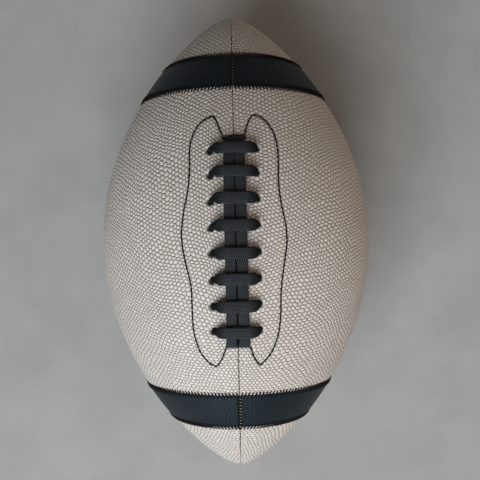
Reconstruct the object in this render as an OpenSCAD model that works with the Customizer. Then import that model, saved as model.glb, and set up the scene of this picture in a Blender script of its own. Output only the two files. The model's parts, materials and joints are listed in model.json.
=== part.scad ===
// American football lying on its side with the laces up.
// The long axis runs along Y, the laces face +Z and the origin is under the middle of the
// ball, on the surface that it rests on. Depths into the ball are called insets: they are
// measured along the normal of the outer surface, so every layer of the ball is parallel.

/* [Ball] */
// Length from tip to tip
ball_length = 288; // [250:1:310]
// Diameter of the belly
belly_d = 170; // [145:1:190]
// Roundness of the ends: 0 is a pointed lens and 1 is an ellipsoid
nose_share = 0.4; // [0.3:0.01:0.6]
// Depth by which the ball's own weight flattens its underside
rest_depth = 0.35; // [0.2:0.05:0.6]

/* [Cover] */
// Thickness of the pebbled leather
panel_t = 1.8; // [1.4:0.1:2.4]
// Thickness of the woven lining
lining_t = 1; // [0.6:0.1:1.4]
// Depth of the seam allowance that stands inside the ball
seam_allowance = 5; // [4:0.1:7]
// Width of the groove along a seam
groove_w = 1.6; // [1:0.1:2.4]
// Depth of the groove along a seam
groove_depth = 0.9; // [0.5:0.1:1.2]

/* [Stripes] */
// Distance along the axis from a tip of the ball to the far side of the nearest stripe
stripe_from_tip = 53.4; // [48:0.2:60]
// Width of a stripe, measured along the axis
stripe_w = 21.4; // [16:0.5:26]
// Thickness of a stripe
stripe_t = 0.7; // [0.5:0.1:1.2]
// Radius, seen from above, of the bow of a stripe's edge nearer the belly
stripe_belly_bow_r = 1900; // [900:50:2500]
// Radius, seen from above, of the bow of a stripe's edge nearer the tip
stripe_tip_bow_r = 400; // [300:10:900]

/* [Laces] */
// Number of cross laces
bar_count = 8; // [6:1:8]
// Distance from one cross lace to the next, along the axis
bar_pitch = 14.8; // [12:0.1:17]
// Distance from the seam to the middle of a row of lace holes
hole_offset = 12.6; // [11:0.1:15]
// Diameter of a lace hole
hole_d = 5.8; // [5:0.1:7]
// Width of the lace
lace_w = 6.4; // [5:0.1:7.2]
// Thickness of the lace
lace_t = 2.4; // [2:0.1:3]
// How far a lengthwise lace runs past the last cross lace
lace_overrun = 7.4; // [6.8:0.1:10]
// Width of the lace where it is drawn through a hole
pinch_w = 4.2; // [3.4:0.1:4.4]
// Thickness of the lace where it is drawn through a hole
pinch_t = 3.1; // [2.6:0.1:3.6]

/* [Reinforcement] */
// Thickness of the leather facing behind the lace holes
facing_t = 1; // [0.6:0.1:1.4]
// Distance from the seam to the facing's topstitching at the belly
facing_mid = 29.6; // [26:0.1:34]
// Distance from the seam to the topstitching at the facing's waist
facing_waist = 25.2; // [20:0.1:27]
// Distance from the seam to the point at each end of the topstitching
facing_point = 12.6; // [10:0.1:16]
// How far the facing's point stands past the end of the lengthwise laces
facing_reach = 12.4; // [9:0.1:14]
// Width of facing outside its topstitching
facing_margin = 3; // [2:0.5:4]
// Thickness of the flap between the laces and the bladder
tongue_t = 1; // [0.6:0.1:1.4]
// Width of the flap between the laces and the bladder
tongue_w = 33; // [30:0.5:40]

/* [Bladder] */
// Wall of the bladder
bladder_t = 0.9; // [0.6:0.1:1.2]

/* [Valve] */
// Angle of the valve below the side seam
valve_angle = 45; // [35:1:55]
// Diameter of the rubber stem that fills the hole in the cover
stem_d = 8; // [7:0.1:10]
// Diameter of the flange that is bonded inside the bladder
valve_flange_d = 22; // [18:0.5:26]
// Thickness of that flange
valve_flange_t = 1.5; // [1:0.1:2]
// Diameter of the plug that seals the valve
plug_d = 4.6; // [4:0.1:5.4]
// Diameter of the plug's head
plug_head_d = 6.2; // [5.8:0.1:6.8]
// Thickness of the plug's head
plug_head_t = 0.9; // [0.7:0.1:1.2]
// Length of the plug under its head
plug_length = 14; // [12:0.5:17]
// Diameter of the hole that takes the pump's needle
needle_d = 2.2; // [2:0.1:2.4]
// Depth of the needle hole
needle_depth = 9; // [7:0.5:11]

/* [Hidden] */
$fn = 72;

// Clearances: between bonded layers, between loose ones, and between the turns of the lace
layer_gap = 0.2;
seat_gap = 0.3;
turn_gap = 0.5;
// Gap between the two panels of a seam, and between them along the lace opening
seam_gap = 0.2;
slot_gap = 1.2;
// How far a cutter reaches past what it cuts
overrun = 2;
// Radius of the pinhole where the four panels meet at a tip, and of the outline's end in it
tip_hole_r = 1.2;
outline_end_r = 0.8;
// Steps from tip to tip along the outline, and across a stripe
outline_steps = 41;
stripe_steps = 8;
// Clearance of the rubber stem in its hole, and of the plug in the stem
stem_gap = 0.15;
plug_gap = 0.05;
// Depth of the stem's mouth below the leather, and the cone at the needle hole
stem_recess = 0.5;
needle_lead = 0.5;
// Wall of the stem's skirt inside the bladder
skirt_wall = 1.3;
// Sides of the lace's section, and the steps of its runs
lace_sides = 8;
over_steps = 12;
under_steps = 10;
strand_steps = 14;
bend_steps = 3;
// Squareness of the lace's section, of a run over the seam, and of a run under it
section_power = 3;
over_power = 3.2;
under_power = 6;
// Share of a run under the seam by which a loose end is tucked in
tail_share = 0.5;

// Stations along the lace, and a distance, within which its gap to itself is measured
apart = under_steps;
near = 2 * lace_w;

half_length = ball_length / 2;
stripe_start = half_length - stripe_from_tip;
belly_r = belly_d / 2;
axis_height = belly_r - rest_depth;
tip_turn = acos(outline_end_r / (nose_share * belly_r));

lining_inset = panel_t + layer_gap;
facing_inset = lining_inset + lining_t + layer_gap;
under_inset = facing_inset + facing_t + seat_gap;
under_depth = under_inset + lace_t / 2;
tongue_inset = under_inset + lace_t + seat_gap;
pocket_inset = tongue_inset + tongue_t + seat_gap;
facing_bed_inset = facing_inset + facing_t + seat_gap;
bladder_inset = lining_inset + lining_t + seat_gap;
flange_inset = panel_t + seam_allowance;
flange_bed_inset = flange_inset + seat_gap;

// The bladder ends short of the tips, where the seam allowances run together
bladder_end = half_length - flange_bed_inset - flange_inset;
// Half width of a seam's two turned-in edges, with a gap beside them
ridge_half_w = seam_gap / 2 + panel_t + seat_gap;

lacing_half = bar_pitch * (bar_count - 1) / 2;
strand_x = (lace_w + turn_gap) / 2;
strand_height = seat_gap + lace_t / 2;
bar_height = seat_gap + lace_t + turn_gap + lace_t / 2;
strand_end = lacing_half + lace_overrun;
notch_half_w = lace_w + turn_gap + seat_gap;
notch_half_t = lace_t / 2 + seat_gap;
slot_half = strand_end + notch_half_t;
flange_start = slot_half + panel_t;
facing_end = strand_end + facing_reach;
facing_edge = ridge_half_w + layer_gap;
tongue_half = flange_start + lace_w;

valve_turn = 90 + valve_angle;
stem_hole_r = stem_d / 2 + stem_gap;
valve_flange_inset = bladder_inset + bladder_t + layer_gap;
plug_bore_r = plug_d / 2 + plug_gap;
plug_head_bore_r = plug_head_d / 2 + plug_gap;
skirt_r = plug_bore_r + skirt_wall;
reach = belly_d;

// The outline: radius r and place y along the axis at a turn t from -90 to 90 degrees,
// set in from the outer surface along its normal.
function outline_point(t, inset) =
    let (r = belly_r * ((1 - nose_share) * cos(t) * cos(t) + nose_share * cos(t)),
        normal = outline_normal(t))
    [r - inset * normal[0], half_length * sin(t) - inset * normal[1]];

function outline_normal(t) =
    let (along = half_length * cos(t),
        across = belly_r * sin(t) * (2 * (1 - nose_share) * cos(t) + nose_share),
        size = sqrt(along * along + across * across))
    [along / size, across / size];

function turn_at(y) = asin(y / half_length);
function radius_at(y) = outline_point(turn_at(y), 0)[0];
function lean_at(y) = atan2(outline_normal(turn_at(y))[1], outline_normal(turn_at(y))[0]);

// Points of the outline from one tip to the other, closer together at the tips.
function outline(inset) =
    [for (k = [0 : outline_steps])
        let (share = 2 * k / outline_steps - 1,
            p = outline_point(tip_turn * share * (5 - share * share) / 4, inset))
        if (p[0] >= outline_end_r / 2) p];

// Points of the outline between two turns of it.
function outline_part(inset, from, to) =
    [for (k = [0 : stripe_steps])
        outline_point(from + (to - from) * k / stripe_steps, inset)];

function reversed(points) = [for (k = [len(points) - 1 : -1 : 0]) points[k]];

// Area between two parallel outlines, with the axis along the drawing's Y.
module layer_outline(outer, inner)
    polygon(concat(outline(outer), reversed(outline(inner))));

// Area inside a parallel outline, from the axis out.
module body_outline(inset) {
    points = outline(inset);
    polygon(concat([[0, points[0][1]]], points, [[0, points[len(points) - 1][1]]]));
}

// Puts what is drawn about the drawing's Z axis onto the ball's long axis.
module on_axis()
    translate([0, 0, axis_height]) rotate([90, 0, 0]) children();

module solid_body(inset)
    on_axis() rotate_extrude() body_outline(inset);

// A quarter of a layer, from the side seam up to the top seam.
module quarter_layer(outer, inner)
    on_axis() rotate_extrude(angle = 90) layer_outline(outer, inner);

// A flat slab that follows the outline in the plane of the top seam.
module seam_slab(outer, inner, start, thickness)
    translate([start, 0, axis_height]) rotate([90, 0, 90])
        linear_extrude(height = thickness) seam_outline(outer, inner);

module seam_outline(outer, inner)
    polygon([for (p = concat(outline(outer), reversed(outline(inner)))) [p[1], p[0]]]);

// Copies a shape from the top seam to the side seam of the same quarter.
module at_both_seams() {
    children();
    translate([0, 0, axis_height]) rotate([0, 90, 0]) mirror([1, 0, 0])
        translate([0, 0, -axis_height]) children();
}

// Turns the upper right quarter into one of the four.
module into_quarter(right, top)
    translate([0, 0, axis_height]) mirror([right ? 0 : 1, 0, 0]) mirror([0, 0, top ? 0 : 1])
        translate([0, 0, -axis_height]) children();

// Puts a shape on the surface, its Z along the normal there.
module on_surface(y, turn)
    translate([0, 0, axis_height]) rotate([0, turn, 0]) translate([0, y, radius_at(y)])
        rotate([-lean_at(y), 0, 0]) children();

function turn_beside_seam(x, y) = asin(x / radius_at(y));

// Cuts all of the upper right quarter that is nearer than a distance to the seams' planes.
module clear_of_seams(distance)
    intersection() {
        children();
        translate([distance, -reach, axis_height + distance]) cube([reach, 2 * reach, reach]);
    }

// The opening along the top seam that the laces close, with a notch at each end.
module lace_opening(gap) {
    translate([-gap / 2, -strand_end, axis_height]) cube([gap, 2 * strand_end, reach]);
    for (y = [-strand_end, strand_end])
        on_surface(y, 0) translate([-notch_half_w, -notch_half_t, -pocket_inset])
            cube([2 * notch_half_w, 2 * notch_half_t, pocket_inset + overrun]);
}

module lace_holes(depth)
    for (k = [0 : bar_count - 1])
        let (y = k * bar_pitch - lacing_half)
        on_surface(y, turn_beside_seam(hole_offset, y)) translate([0, 0, -depth])
            cylinder(d = hole_d, h = depth + overrun);

module floor_cut()
    translate([-reach, -reach, -reach]) cube([2 * reach, 2 * reach, reach]);

// Groove along the top seam, in two steps as the leather rolls over.
module seam_groove() {
    seam_slab(-overrun, groove_depth / 3, -overrun, overrun + groove_w / 2);
    seam_slab(-overrun, groove_depth, -overrun, overrun + groove_w / 4);
}

// One panel of pebbled leather: its shell and the edges turned in along both seams.
module panel_quarter(laced) {
    difference() {
        union() {
            clear_of_seams(seam_gap / 2) quarter_layer(0, panel_t);
            turned_edge(laced);
            translate([0, 0, axis_height]) rotate([0, 90, 0]) mirror([1, 0, 0])
                translate([0, 0, -axis_height]) turned_edge(false);
        }
        at_both_seams() seam_groove();
        if (laced) {
            lace_opening(slot_gap);
            lace_holes(pocket_inset);
        }
    }
}

module turned_edge(laced)
    difference() {
        seam_slab(panel_t / 3, flange_inset, seam_gap / 2, panel_t);
        if (laced)
            translate([-reach, -flange_start, axis_height])
                cube([2 * reach, 2 * flange_start, reach]);
    }

module panel(right, top)
    color("antiquewhite")
        difference() {
            into_quarter(right, top) panel_quarter(top);
            on_axis() cylinder(r = tip_hole_r, h = 2 * reach, center = true);
            if (!top) floor_cut();
            if (right && !top) valve_hole();
        }

module valve_hole()
    on_surface(0, valve_turn) translate([0, 0, -reach / 2])
        cylinder(r = stem_hole_r, h = reach);

module lining(right, top)
    color("gainsboro")
        difference() {
            into_quarter(right, top)
                difference() {
                    clear_of_seams(ridge_half_w)
                        quarter_layer(lining_inset, lining_inset + lining_t);
                    if (top) {
                        lace_opening(slot_gap);
                        lace_holes(pocket_inset);
                    }
                }
            if (right && !top) valve_hole();
        }

// A stripe lies on its panel, sewn down, and both its edges bow towards the belly.
module stripe(right, far)
    color("darkslategray")
        into_quarter(right, true)
            translate([0, 0, axis_height]) mirror([0, far ? 0 : 1, 0])
                translate([0, 0, -axis_height])
                    clear_of_seams(groove_w / 4)
                        intersection() {
                            on_axis() rotate_extrude(angle = 90) stripe_outline();
                            difference() {
                                inside_bow(stripe_start + stripe_w, stripe_tip_bow_r);
                                inside_bow(stripe_start, stripe_belly_bow_r);
                            }
                        }

// What is nearer the belly than a line across the top of the ball at y, bowed at the sides.
module inside_bow(y, bow_r)
    translate([0, y - bow_r, axis_height - overrun])
        cylinder(r = bow_r, h = reach, $fn = 8 * $fn);

module stripe_outline() {
    bow = radius_at(stripe_start) ^ 2 / (2 * stripe_belly_bow_r);
    start = -turn_at(stripe_start - bow - overrun);
    end = -turn_at(stripe_start + stripe_w + overrun);
    polygon(concat(outline_part(-layer_gap, end, start),
        reversed(outline_part(-layer_gap - stripe_t, end, start))));
}

// The line of topstitching that shows on a laced panel: x beside the seam at y.
function topstitch_x(y) =
    let (bulge_end = 2 / 3 * lacing_half)
    abs(y) < bulge_end
        ? facing_waist + (facing_mid - facing_waist) * (1 + cos(180 * y / bulge_end)) / 2
        : abs(y) < lacing_half
            ? facing_waist
            : let (share = min(1, (abs(y) - lacing_half) / (facing_end - lacing_half)))
                facing_point + (facing_waist - facing_point) * sqrt(1 - share * share);

module facing_outline() {
    steps = 20;
    shoulder = [for (k = [-steps : steps]) facing_end * sin(90 * k / steps)];
    polygon(concat(
        [[facing_edge, -strand_end], [facing_point - facing_margin, -facing_end - facing_margin]],
        [[facing_point + facing_margin, -facing_end - facing_margin]],
        [for (y = shoulder) [topstitch_x(y) + facing_margin, y]],
        [[facing_point + facing_margin, facing_end + facing_margin]],
        [[facing_point - facing_margin, facing_end + facing_margin], [facing_edge, strand_end]]));
}

module facing(right)
    color("tan")
        into_quarter(right, true)
            difference() {
                intersection() {
                    clear_of_seams(facing_edge)
                        quarter_layer(facing_inset, facing_inset + facing_t);
                    translate([0, 0, axis_height]) linear_extrude(height = reach)
                        facing_outline();
                }
                lace_opening(slot_gap);
                lace_holes(pocket_inset);
            }

// The flap under the lacing, which keeps the lace off the bladder.
module lace_tongue()
    color("dimgray")
        intersection() {
            difference() {
                solid_body(tongue_inset);
                solid_body(tongue_inset + tongue_t);
            }
            translate([0, 0, axis_height]) linear_extrude(height = reach)
                rounded_strip(tongue_w, 2 * tongue_half, tongue_w / 4);
        }

module rounded_strip(width, length, corner_r) {
    square([width, length - 2 * corner_r], center = true);
    square([width - 2 * corner_r, length], center = true);
    for (x = [-1, 1], y = [-1, 1])
        translate([x * (width / 2 - corner_r), y * (length / 2 - corner_r)])
            circle(r = corner_r);
}

// The bladder fills the cover and lies over the seam ridges, the facings and the flap.
module bladder()
    color("orangered")
        difference() {
            difference() {
                bladder_body(0);
                bladder_body(bladder_t);
            }
            on_surface(0, valve_turn)
                valve_tube(stem_hole_r, bladder_inset - overrun, bladder_inset + overrun);
        }

module bladder_body(wall)
    difference() {
        solid_body(bladder_inset + wall);
        for (turn = [0, 90, 180, 270])
            translate([0, 0, axis_height]) rotate([0, turn, 0]) translate([0, 0, -axis_height])
                seam_slab(-overrun, flange_bed_inset + wall, -ridge_half_w - wall,
                    2 * (ridge_half_w + wall));
        pocket(facing_bed_inset + wall, facing_mid + facing_margin + seat_gap + wall,
            facing_end + facing_margin + seat_gap + wall);
        pocket(pocket_inset + wall, tongue_w / 2 + seat_gap + wall,
            tongue_half + seat_gap + wall);
        for (side = [0, 1])
            mirror([0, side, 0])
                translate([-reach, bladder_end - wall, 0]) cube([2 * reach, reach, 2 * reach]);
    }

// What a flat piece under the lacing takes out of the bladder, down to an inset.
module pocket(inset, half_w, half_l)
    difference() {
        translate([-half_w, -half_l, axis_height])
            cube([2 * half_w, 2 * half_l, reach]);
        solid_body(inset);
    }

// The valve's rubber boot: a flange bonded inside the bladder, the stem that fills the hole
// in the cover, and a skirt round the plug.
module valve_boot()
    color("black")
        on_surface(0, valve_turn)
            difference() {
                union() {
                    valve_flange();
                    valve_tube(stem_d / 2, stem_recess, valve_flange_inset + valve_flange_t);
                    valve_tube(skirt_r, valve_flange_inset, skirt_end());
                }
                valve_tube(plug_bore_r, -overrun, skirt_end() + overrun);
                valve_tube(plug_head_bore_r, -overrun, stem_recess + plug_head_t + plug_gap);
            }

// The flange is dished to lie against the inside of the bladder.
module valve_flange() {
    steps = 6;
    top = [for (k = [0 : steps])
        let (r = valve_flange_d / 2 * k / steps)
        [r, -valve_flange_inset - r * r / belly_d]];
    rotate_extrude()
        polygon(concat(top, [for (p = reversed(top)) p - [0, valve_flange_t]]));
}

function skirt_end() = stem_recess + plug_length;

// A round length on the valve's axis, from one depth to another.
module valve_tube(r, from, to)
    translate([0, 0, -to]) cylinder(r = r, h = to - from);

// The plug seals itself round the pump's needle.
module valve_plug()
    color("dimgray")
        on_surface(0, valve_turn)
            difference() {
                union() {
                    valve_tube(plug_head_d / 2, stem_recess, stem_recess + plug_head_t);
                    valve_tube(plug_d / 2, stem_recess + plug_head_t / 2,
                        stem_recess + plug_head_t + plug_length);
                }
                valve_tube(needle_d / 2, -overrun, stem_recess + needle_depth);
                translate([0, 0, -stem_recess - needle_lead])
                    cylinder(r1 = needle_d / 2, r2 = needle_d / 2 + needle_lead + needle_lead,
                        h = needle_lead + needle_lead);
            }

// The lace is one unbroken length. A station of its route is [place, width vector, width,
// thickness], where a place is given as x beside the seam, y along the axis and a height
// over the surface.
function surface_frame(x, y) =
    let (a = turn_beside_seam(x, y), lean = lean_at(y))
    [[sin(a) * cos(lean), sin(lean), cos(a) * cos(lean)],
        [-sin(a) * sin(lean), cos(lean), -cos(a) * sin(lean)],
        [cos(a), 0, -sin(a)]];

function lace_place(x, y, height) =
    let (a = turn_beside_seam(x, y), r = radius_at(y))
    [r * sin(a), y, axis_height + r * cos(a)] + height * surface_frame(x, y)[0];

// A width vector turned by an angle from straight across the ball towards its near end.
function lace_side(x, y, turn) =
    let (f = surface_frame(x, y)) cos(turn) * f[2] - sin(turn) * f[1];

function station(x, y, height, turn, width, thickness) =
    [lace_place(x, y, height), lace_side(x, y, turn), width, thickness];

// How far a flattened arch has come at an angle: [share of the span, share of the height].
function arch_share(angle, power) =
    let (k = pow(pow(abs(cos(angle)), power) + pow(abs(sin(angle)), power), -1 / power))
    [(1 - k * cos(angle)) / 2, k * sin(angle)];

function mix(a, b, share) = a + (b - a) * share;

// A cross lace, from the left hole over the lengthwise laces to the right hole.
function over_run(y) =
    [for (k = [0 : over_steps])
        let (arch = arch_share(180 * k / over_steps, over_power),
            full = min(1, arch[1]))
        station(mix(-hole_offset, hole_offset, arch[0]), y, bar_height * arch[1], 90,
            mix(pinch_w, lace_w, full), mix(pinch_t, lace_t, full * full))];

// A run inside the cover, from one [x, y, turn, width, thickness] to another.
function under_run(a, b, last = 1) =
    [for (k = [1 : under_steps * last - (last < 1 ? 0 : 1)])
        let (arch = arch_share(180 * k / under_steps, under_power),
            p = mix(a, b, arch[0]), flat = min(1, arch[1] * arch[1]))
        station(p[0], p[1], -under_depth * arch[1], p[2], p[3], mix(p[4], lace_t, flat))];

function hole_end(x, y) = [x, y, 90, pinch_w, pinch_t];
function notch_end(x, y) = [x, y, 0, lace_w, lace_t];
function bar_y(k) = lacing_half - k * bar_pitch;

// A lengthwise lace, from the notch at the near end to the notch at the far end.
function strand_run(x) =
    let (bend = strand_height, straight = strand_end - bend)
    concat(
        [for (k = [0 : bend_steps])
            let (a = 90 * k / bend_steps)
            station(x, -straight - bend * cos(a), bend * sin(a), 0, lace_w, lace_t)],
        [for (k = [1 : strand_steps - 1])
            station(x, mix(-straight, straight, k / strand_steps), bend, 0, lace_w, lace_t)],
        [for (k = [0 : bend_steps])
            let (a = 90 * k / bend_steps)
            station(x, straight + bend * sin(a), bend * cos(a), 0, lace_w, lace_t)]);

lace_route = concat(
    reversed(under_run(notch_end(-strand_x, -strand_end),
        notch_end(-strand_x, lace_w + lace_w - strand_end), tail_share)),
    strand_run(-strand_x),
    under_run(notch_end(-strand_x, strand_end), hole_end(-hole_offset, bar_y(0))),
    [for (k = [0 : bar_count - 1])
        each concat(over_run(bar_y(k)),
            k < bar_count - 1
                ? under_run(hole_end(hole_offset, bar_y(k)), hole_end(-hole_offset, bar_y(k + 1)))
                : under_run(hole_end(hole_offset, bar_y(k)), notch_end(strand_x, -strand_end)))],
    strand_run(strand_x),
    under_run(notch_end(strand_x, strand_end),
        notch_end(strand_x, strand_end - lace_w - lace_w), tail_share));

function unit(v) = v / norm(v);

function heading(k) =
    unit(lace_route[min(k + 1, len(lace_route) - 1)][0] - lace_route[max(k - 1, 0)][0]);

// Width and thickness directions of the lace at a station, square to its heading.
function lace_axes(k) =
    let (d = heading(k), side = lace_route[k][1], w = unit(side - (side * d) * d))
    [w, cross(d, w)];

function signed_power(value, power) = sign(value) * pow(abs(value), power);

function lace_ring(k) =
    let (s = lace_route[k], axes = lace_axes(k))
    [for (j = [0 : lace_sides - 1])
        let (a = 360 * (j + 1 / 2) / lace_sides)
        s[0] + s[2] / 2 * signed_power(cos(a), 2 / section_power) * axes[0]
            + s[3] / 2 * signed_power(sin(a), 2 / section_power) * axes[1]];

// Gap from a point of one ring to the box round the lace at another station.
function beyond(value, half) = max(0, abs(value) - half);

function point_gap(p, k) =
    let (s = lace_route[k], v = p - s[0])
    norm([beyond(v * lace_frames[k][0], s[2] / 2), beyond(v * lace_frames[k][1], s[3] / 2),
        v * cross(lace_frames[k][0], lace_frames[k][1])]);

lace_frames = [for (k = [0 : len(lace_route) - 1]) lace_axes(k)];

// Least gap between stations that are further apart along the lace than a bend is long.
function least_lace_gap() =
    min([for (i = [0 : len(lace_route) - 1], j = [0 : len(lace_route) - 1])
        if (abs(i - j) > apart && norm(lace_route[j][0] - lace_route[i][0]) < near)
            for (p = lace_ring(j)) point_gap(p, i)]);

module lace() {
    rings = len(lace_route);
    n = lace_sides;
    echo(least_gap_of_the_lace_to_itself = least_lace_gap());
    color("darkslategray")
        polyhedron(
            points = [for (k = [0 : rings - 1]) each lace_ring(k)],
            faces = concat(
                [[for (j = [0 : n - 1]) j]],
                [for (k = [0 : rings - 2], j = [0 : n - 1])
                    let (a = k * n + j, b = k * n + (j + 1) % n)
                    each [[a, a + n, b], [b, a + n, b + n]]],
                [[for (j = [n - 1 : -1 : 0]) (rings - 1) * n + j]]));
}

panel(true, true);  // panel_top_right
panel(false, true);  // panel_top_left
panel(false, false);  // panel_bottom_left
panel(true, false);  // panel_bottom_right
lining(true, true);  // lining_top_right
lining(false, true);  // lining_top_left
lining(false, false);  // lining_bottom_left
lining(true, false);  // lining_bottom_right
stripe(true, true);  // stripe_far_right
stripe(false, true);  // stripe_far_left
stripe(true, false);  // stripe_near_right
stripe(false, false);  // stripe_near_left
facing(true);  // facing_right
facing(false);  // facing_left
lace();
lace_tongue();
bladder();
valve_boot();
valve_plug();
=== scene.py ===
"""An american football on a pale floor, laces up, seen from straight above.

Each sub-assembly of the ball is a class with its sizes in metres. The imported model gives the
frame: the long axis runs along Y, the laces face +Z and the ball rests on z = 0.
"""

import json
import logging
import math
from dataclasses import dataclass, field
from enum import Enum
from typing import Any, Callable

import bmesh
import bpy
import numpy as np
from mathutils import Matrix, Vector

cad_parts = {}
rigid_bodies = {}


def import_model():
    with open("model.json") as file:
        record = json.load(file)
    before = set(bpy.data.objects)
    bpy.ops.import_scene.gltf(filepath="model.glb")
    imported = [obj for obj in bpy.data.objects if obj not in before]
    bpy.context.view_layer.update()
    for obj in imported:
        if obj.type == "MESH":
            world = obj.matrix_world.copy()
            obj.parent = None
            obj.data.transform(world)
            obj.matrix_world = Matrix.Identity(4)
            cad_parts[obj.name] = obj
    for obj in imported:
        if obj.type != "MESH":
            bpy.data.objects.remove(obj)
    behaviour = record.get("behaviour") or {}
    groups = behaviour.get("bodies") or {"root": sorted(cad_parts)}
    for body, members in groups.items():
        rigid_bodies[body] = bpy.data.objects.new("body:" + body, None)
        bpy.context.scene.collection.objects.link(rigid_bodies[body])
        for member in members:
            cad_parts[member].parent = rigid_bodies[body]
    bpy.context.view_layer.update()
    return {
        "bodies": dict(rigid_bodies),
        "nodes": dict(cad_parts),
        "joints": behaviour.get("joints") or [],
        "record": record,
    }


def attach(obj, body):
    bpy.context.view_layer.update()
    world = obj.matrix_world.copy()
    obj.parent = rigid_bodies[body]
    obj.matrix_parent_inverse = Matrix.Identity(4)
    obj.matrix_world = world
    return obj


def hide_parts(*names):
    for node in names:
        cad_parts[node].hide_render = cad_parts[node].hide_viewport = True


LOG = logging.getLogger("football")
MM = 0.001
BODY = "root"
STRAIN = "strain"
HOLE_SHADE_AND_RUB = "hole_shade_and_rub"
WELD = 1e-6

Array = np.ndarray
Triple = tuple[float, float, float]
Colour = Triple


class Side(Enum):
    """Which side of the long axis a piece is on."""

    RIGHT = 1
    LEFT = -1


class Half(Enum):
    """Which half of the ball a panel is on."""

    TOP = 1
    BOTTOM = -1


class End(Enum):
    """Which end of the ball a stripe crosses."""

    FAR = 1
    NEAR = -1


# ---------------------------------------------------------------- form of the ball


@dataclass(frozen=True)
class BallForm:
    """The ball's outer surface. An angle is counted round the axis from the top seam."""

    half_length: float = 144 * MM
    belly_r: float = 85 * MM
    nose_share: float = 0.4
    rest_depth: float = 0.35 * MM
    tip_r: float = 0.6 * MM

    @property
    def axis_height(self) -> float:
        """Height of the long axis over the floor."""
        return self.belly_r - self.rest_depth

    def radius(self, y: Array) -> Array:
        """Distance from the long axis to the surface.

        Args:
            y: Places along the axis.

        Returns:
            The radius at each place.
        """
        flat = np.clip(1 - (y / self.half_length) ** 2, 0, 1)
        return self.belly_r * ((1 - self.nose_share) * flat + self.nose_share * np.sqrt(flat))

    def lean(self, y: Array) -> Array:
        """Angle from straight out of the axis to the surface's normal, towards the far tip.

        Args:
            y: Places along the axis.

        Returns:
            The angle at each place, in radians.
        """
        share = y / self.half_length
        root = np.sqrt(np.clip(1 - share**2, 1e-6, 1))
        slope = self.belly_r / self.half_length * (
            2 * (1 - self.nose_share) * share + self.nose_share * share / root
        )
        return np.arctan(slope)

    def normal(self, y: Array, angle: Array) -> Array:
        """Outward unit normals.

        Args:
            y: Places along the axis.
            angle: Angles from the top seam, towards +X.

        Returns:
            One normal a row.
        """
        lean = self.lean(y)
        return np.stack(
            [np.cos(lean) * np.sin(angle), np.sin(lean), np.cos(lean) * np.cos(angle)], -1
        )

    def place(self, y: Array, angle: Array, height: Array) -> Array:
        """Points over or under the surface.

        Args:
            y: Places along the axis.
            angle: Angles from the top seam, towards +X.
            height: Heights over the surface, along its normal.

        Returns:
            One point a row.
        """
        r = self.radius(y)
        skin = np.stack([r * np.sin(angle), y, self.axis_height + r * np.cos(angle)], -1)
        return skin + self.normal(y, angle) * np.asarray(height)[..., None]

    def angle_beside_seam(self, x: Array, y: Array) -> Array:
        """Angle at which the surface is a distance x beside the top seam's plane."""
        return np.arcsin(np.clip(x / self.radius(y), -1, 1))

    def flatten(self, y: Array, angle: Array) -> Array:
        """Lays the leather of a panel flat round its middle line, as it was before it was sewn.

        Args:
            y: Places along the axis.
            angle: Angles from the nearer of the top and bottom seams.

        Returns:
            Distances across and along the flat leather, one pair a row.
        """
        table_y = np.linspace(-self.half_length, self.half_length, 2001)
        steps = np.hypot(np.diff(table_y), np.diff(self.radius(table_y)))
        length = np.interp(y, table_y, np.concatenate([[0], np.cumsum(steps)]) - steps.sum() / 2)
        width = self.radius(y) * (angle - np.pi / 4)
        turn = (angle - np.pi / 4) * np.sin(self.lean(y))
        turn = np.where(np.abs(turn) < 1e-6, 1e-6, turn)
        across = width * np.sin(turn) / turn
        return np.stack([across, length + width * (1 - np.cos(turn)) / turn], -1)

    def tip_to_tip(self, pitch: Callable[[Array], Array]) -> Array:
        """Places along the axis, spaced by their distance over the surface.

        Args:
            pitch: The wanted spacing at each place.

        Returns:
            The places, from the near tip to the far tip.
        """
        edge = math.asin(math.sqrt(1 - (self.tip_r / (self.nose_share * self.belly_r)) ** 2))
        y = self.half_length * np.sin(np.linspace(-edge, edge, 4001))
        step = np.hypot(np.diff(y), np.diff(self.radius(y)))
        count = np.concatenate([[0], np.cumsum(step / pitch((y[1:] + y[:-1]) / 2))])
        rows = int(round(count[-1]))
        return np.interp(np.linspace(0, count[-1], rows + 1), count, y)


FORM = BallForm()


# ---------------------------------------------------------------- modelling helpers


def deselect_all() -> None:
    """Deselects every object, so that an operator acts on the new piece alone."""
    if bpy.context.object and bpy.context.object.mode != "OBJECT":
        bpy.ops.object.mode_set(mode="OBJECT")
    bpy.ops.object.select_all(action="DESELECT")


def make_active(piece: bpy.types.Object) -> None:
    """Selects one piece alone and makes it active.

    Args:
        piece: The piece.
    """
    deselect_all()
    piece.select_set(True)
    bpy.context.view_layer.objects.active = piece


def add_sheet(name: str, columns: int, rows: int) -> tuple[bpy.types.Object, Array, Array]:
    """Adds a flat grid that a piece is formed from.

    Args:
        name: The piece's name.
        columns: Faces across the sheet.
        rows: Faces along the sheet.

    Returns:
        The piece, and the column and row number of each vertex.
    """
    deselect_all()
    bpy.ops.mesh.primitive_grid_add(x_subdivisions=columns, y_subdivisions=rows, size=1)
    piece = bpy.context.object
    piece.name = piece.data.name = name
    flat = read_points(piece)
    column = np.rint((flat[:, 0] - flat[:, 0].min()) / np.ptp(flat[:, 0]) * columns).astype(int)
    row = np.rint((flat[:, 1] - flat[:, 1].min()) / np.ptp(flat[:, 1]) * rows).astype(int)
    return piece, column, row


def read_points(piece: bpy.types.Object) -> Array:
    """Reads the vertices of a piece.

    Args:
        piece: The piece.

    Returns:
        One point a row.
    """
    flat = np.empty(len(piece.data.vertices) * 3)
    piece.data.vertices.foreach_get("co", flat)
    return flat.reshape(-1, 3)


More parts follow.
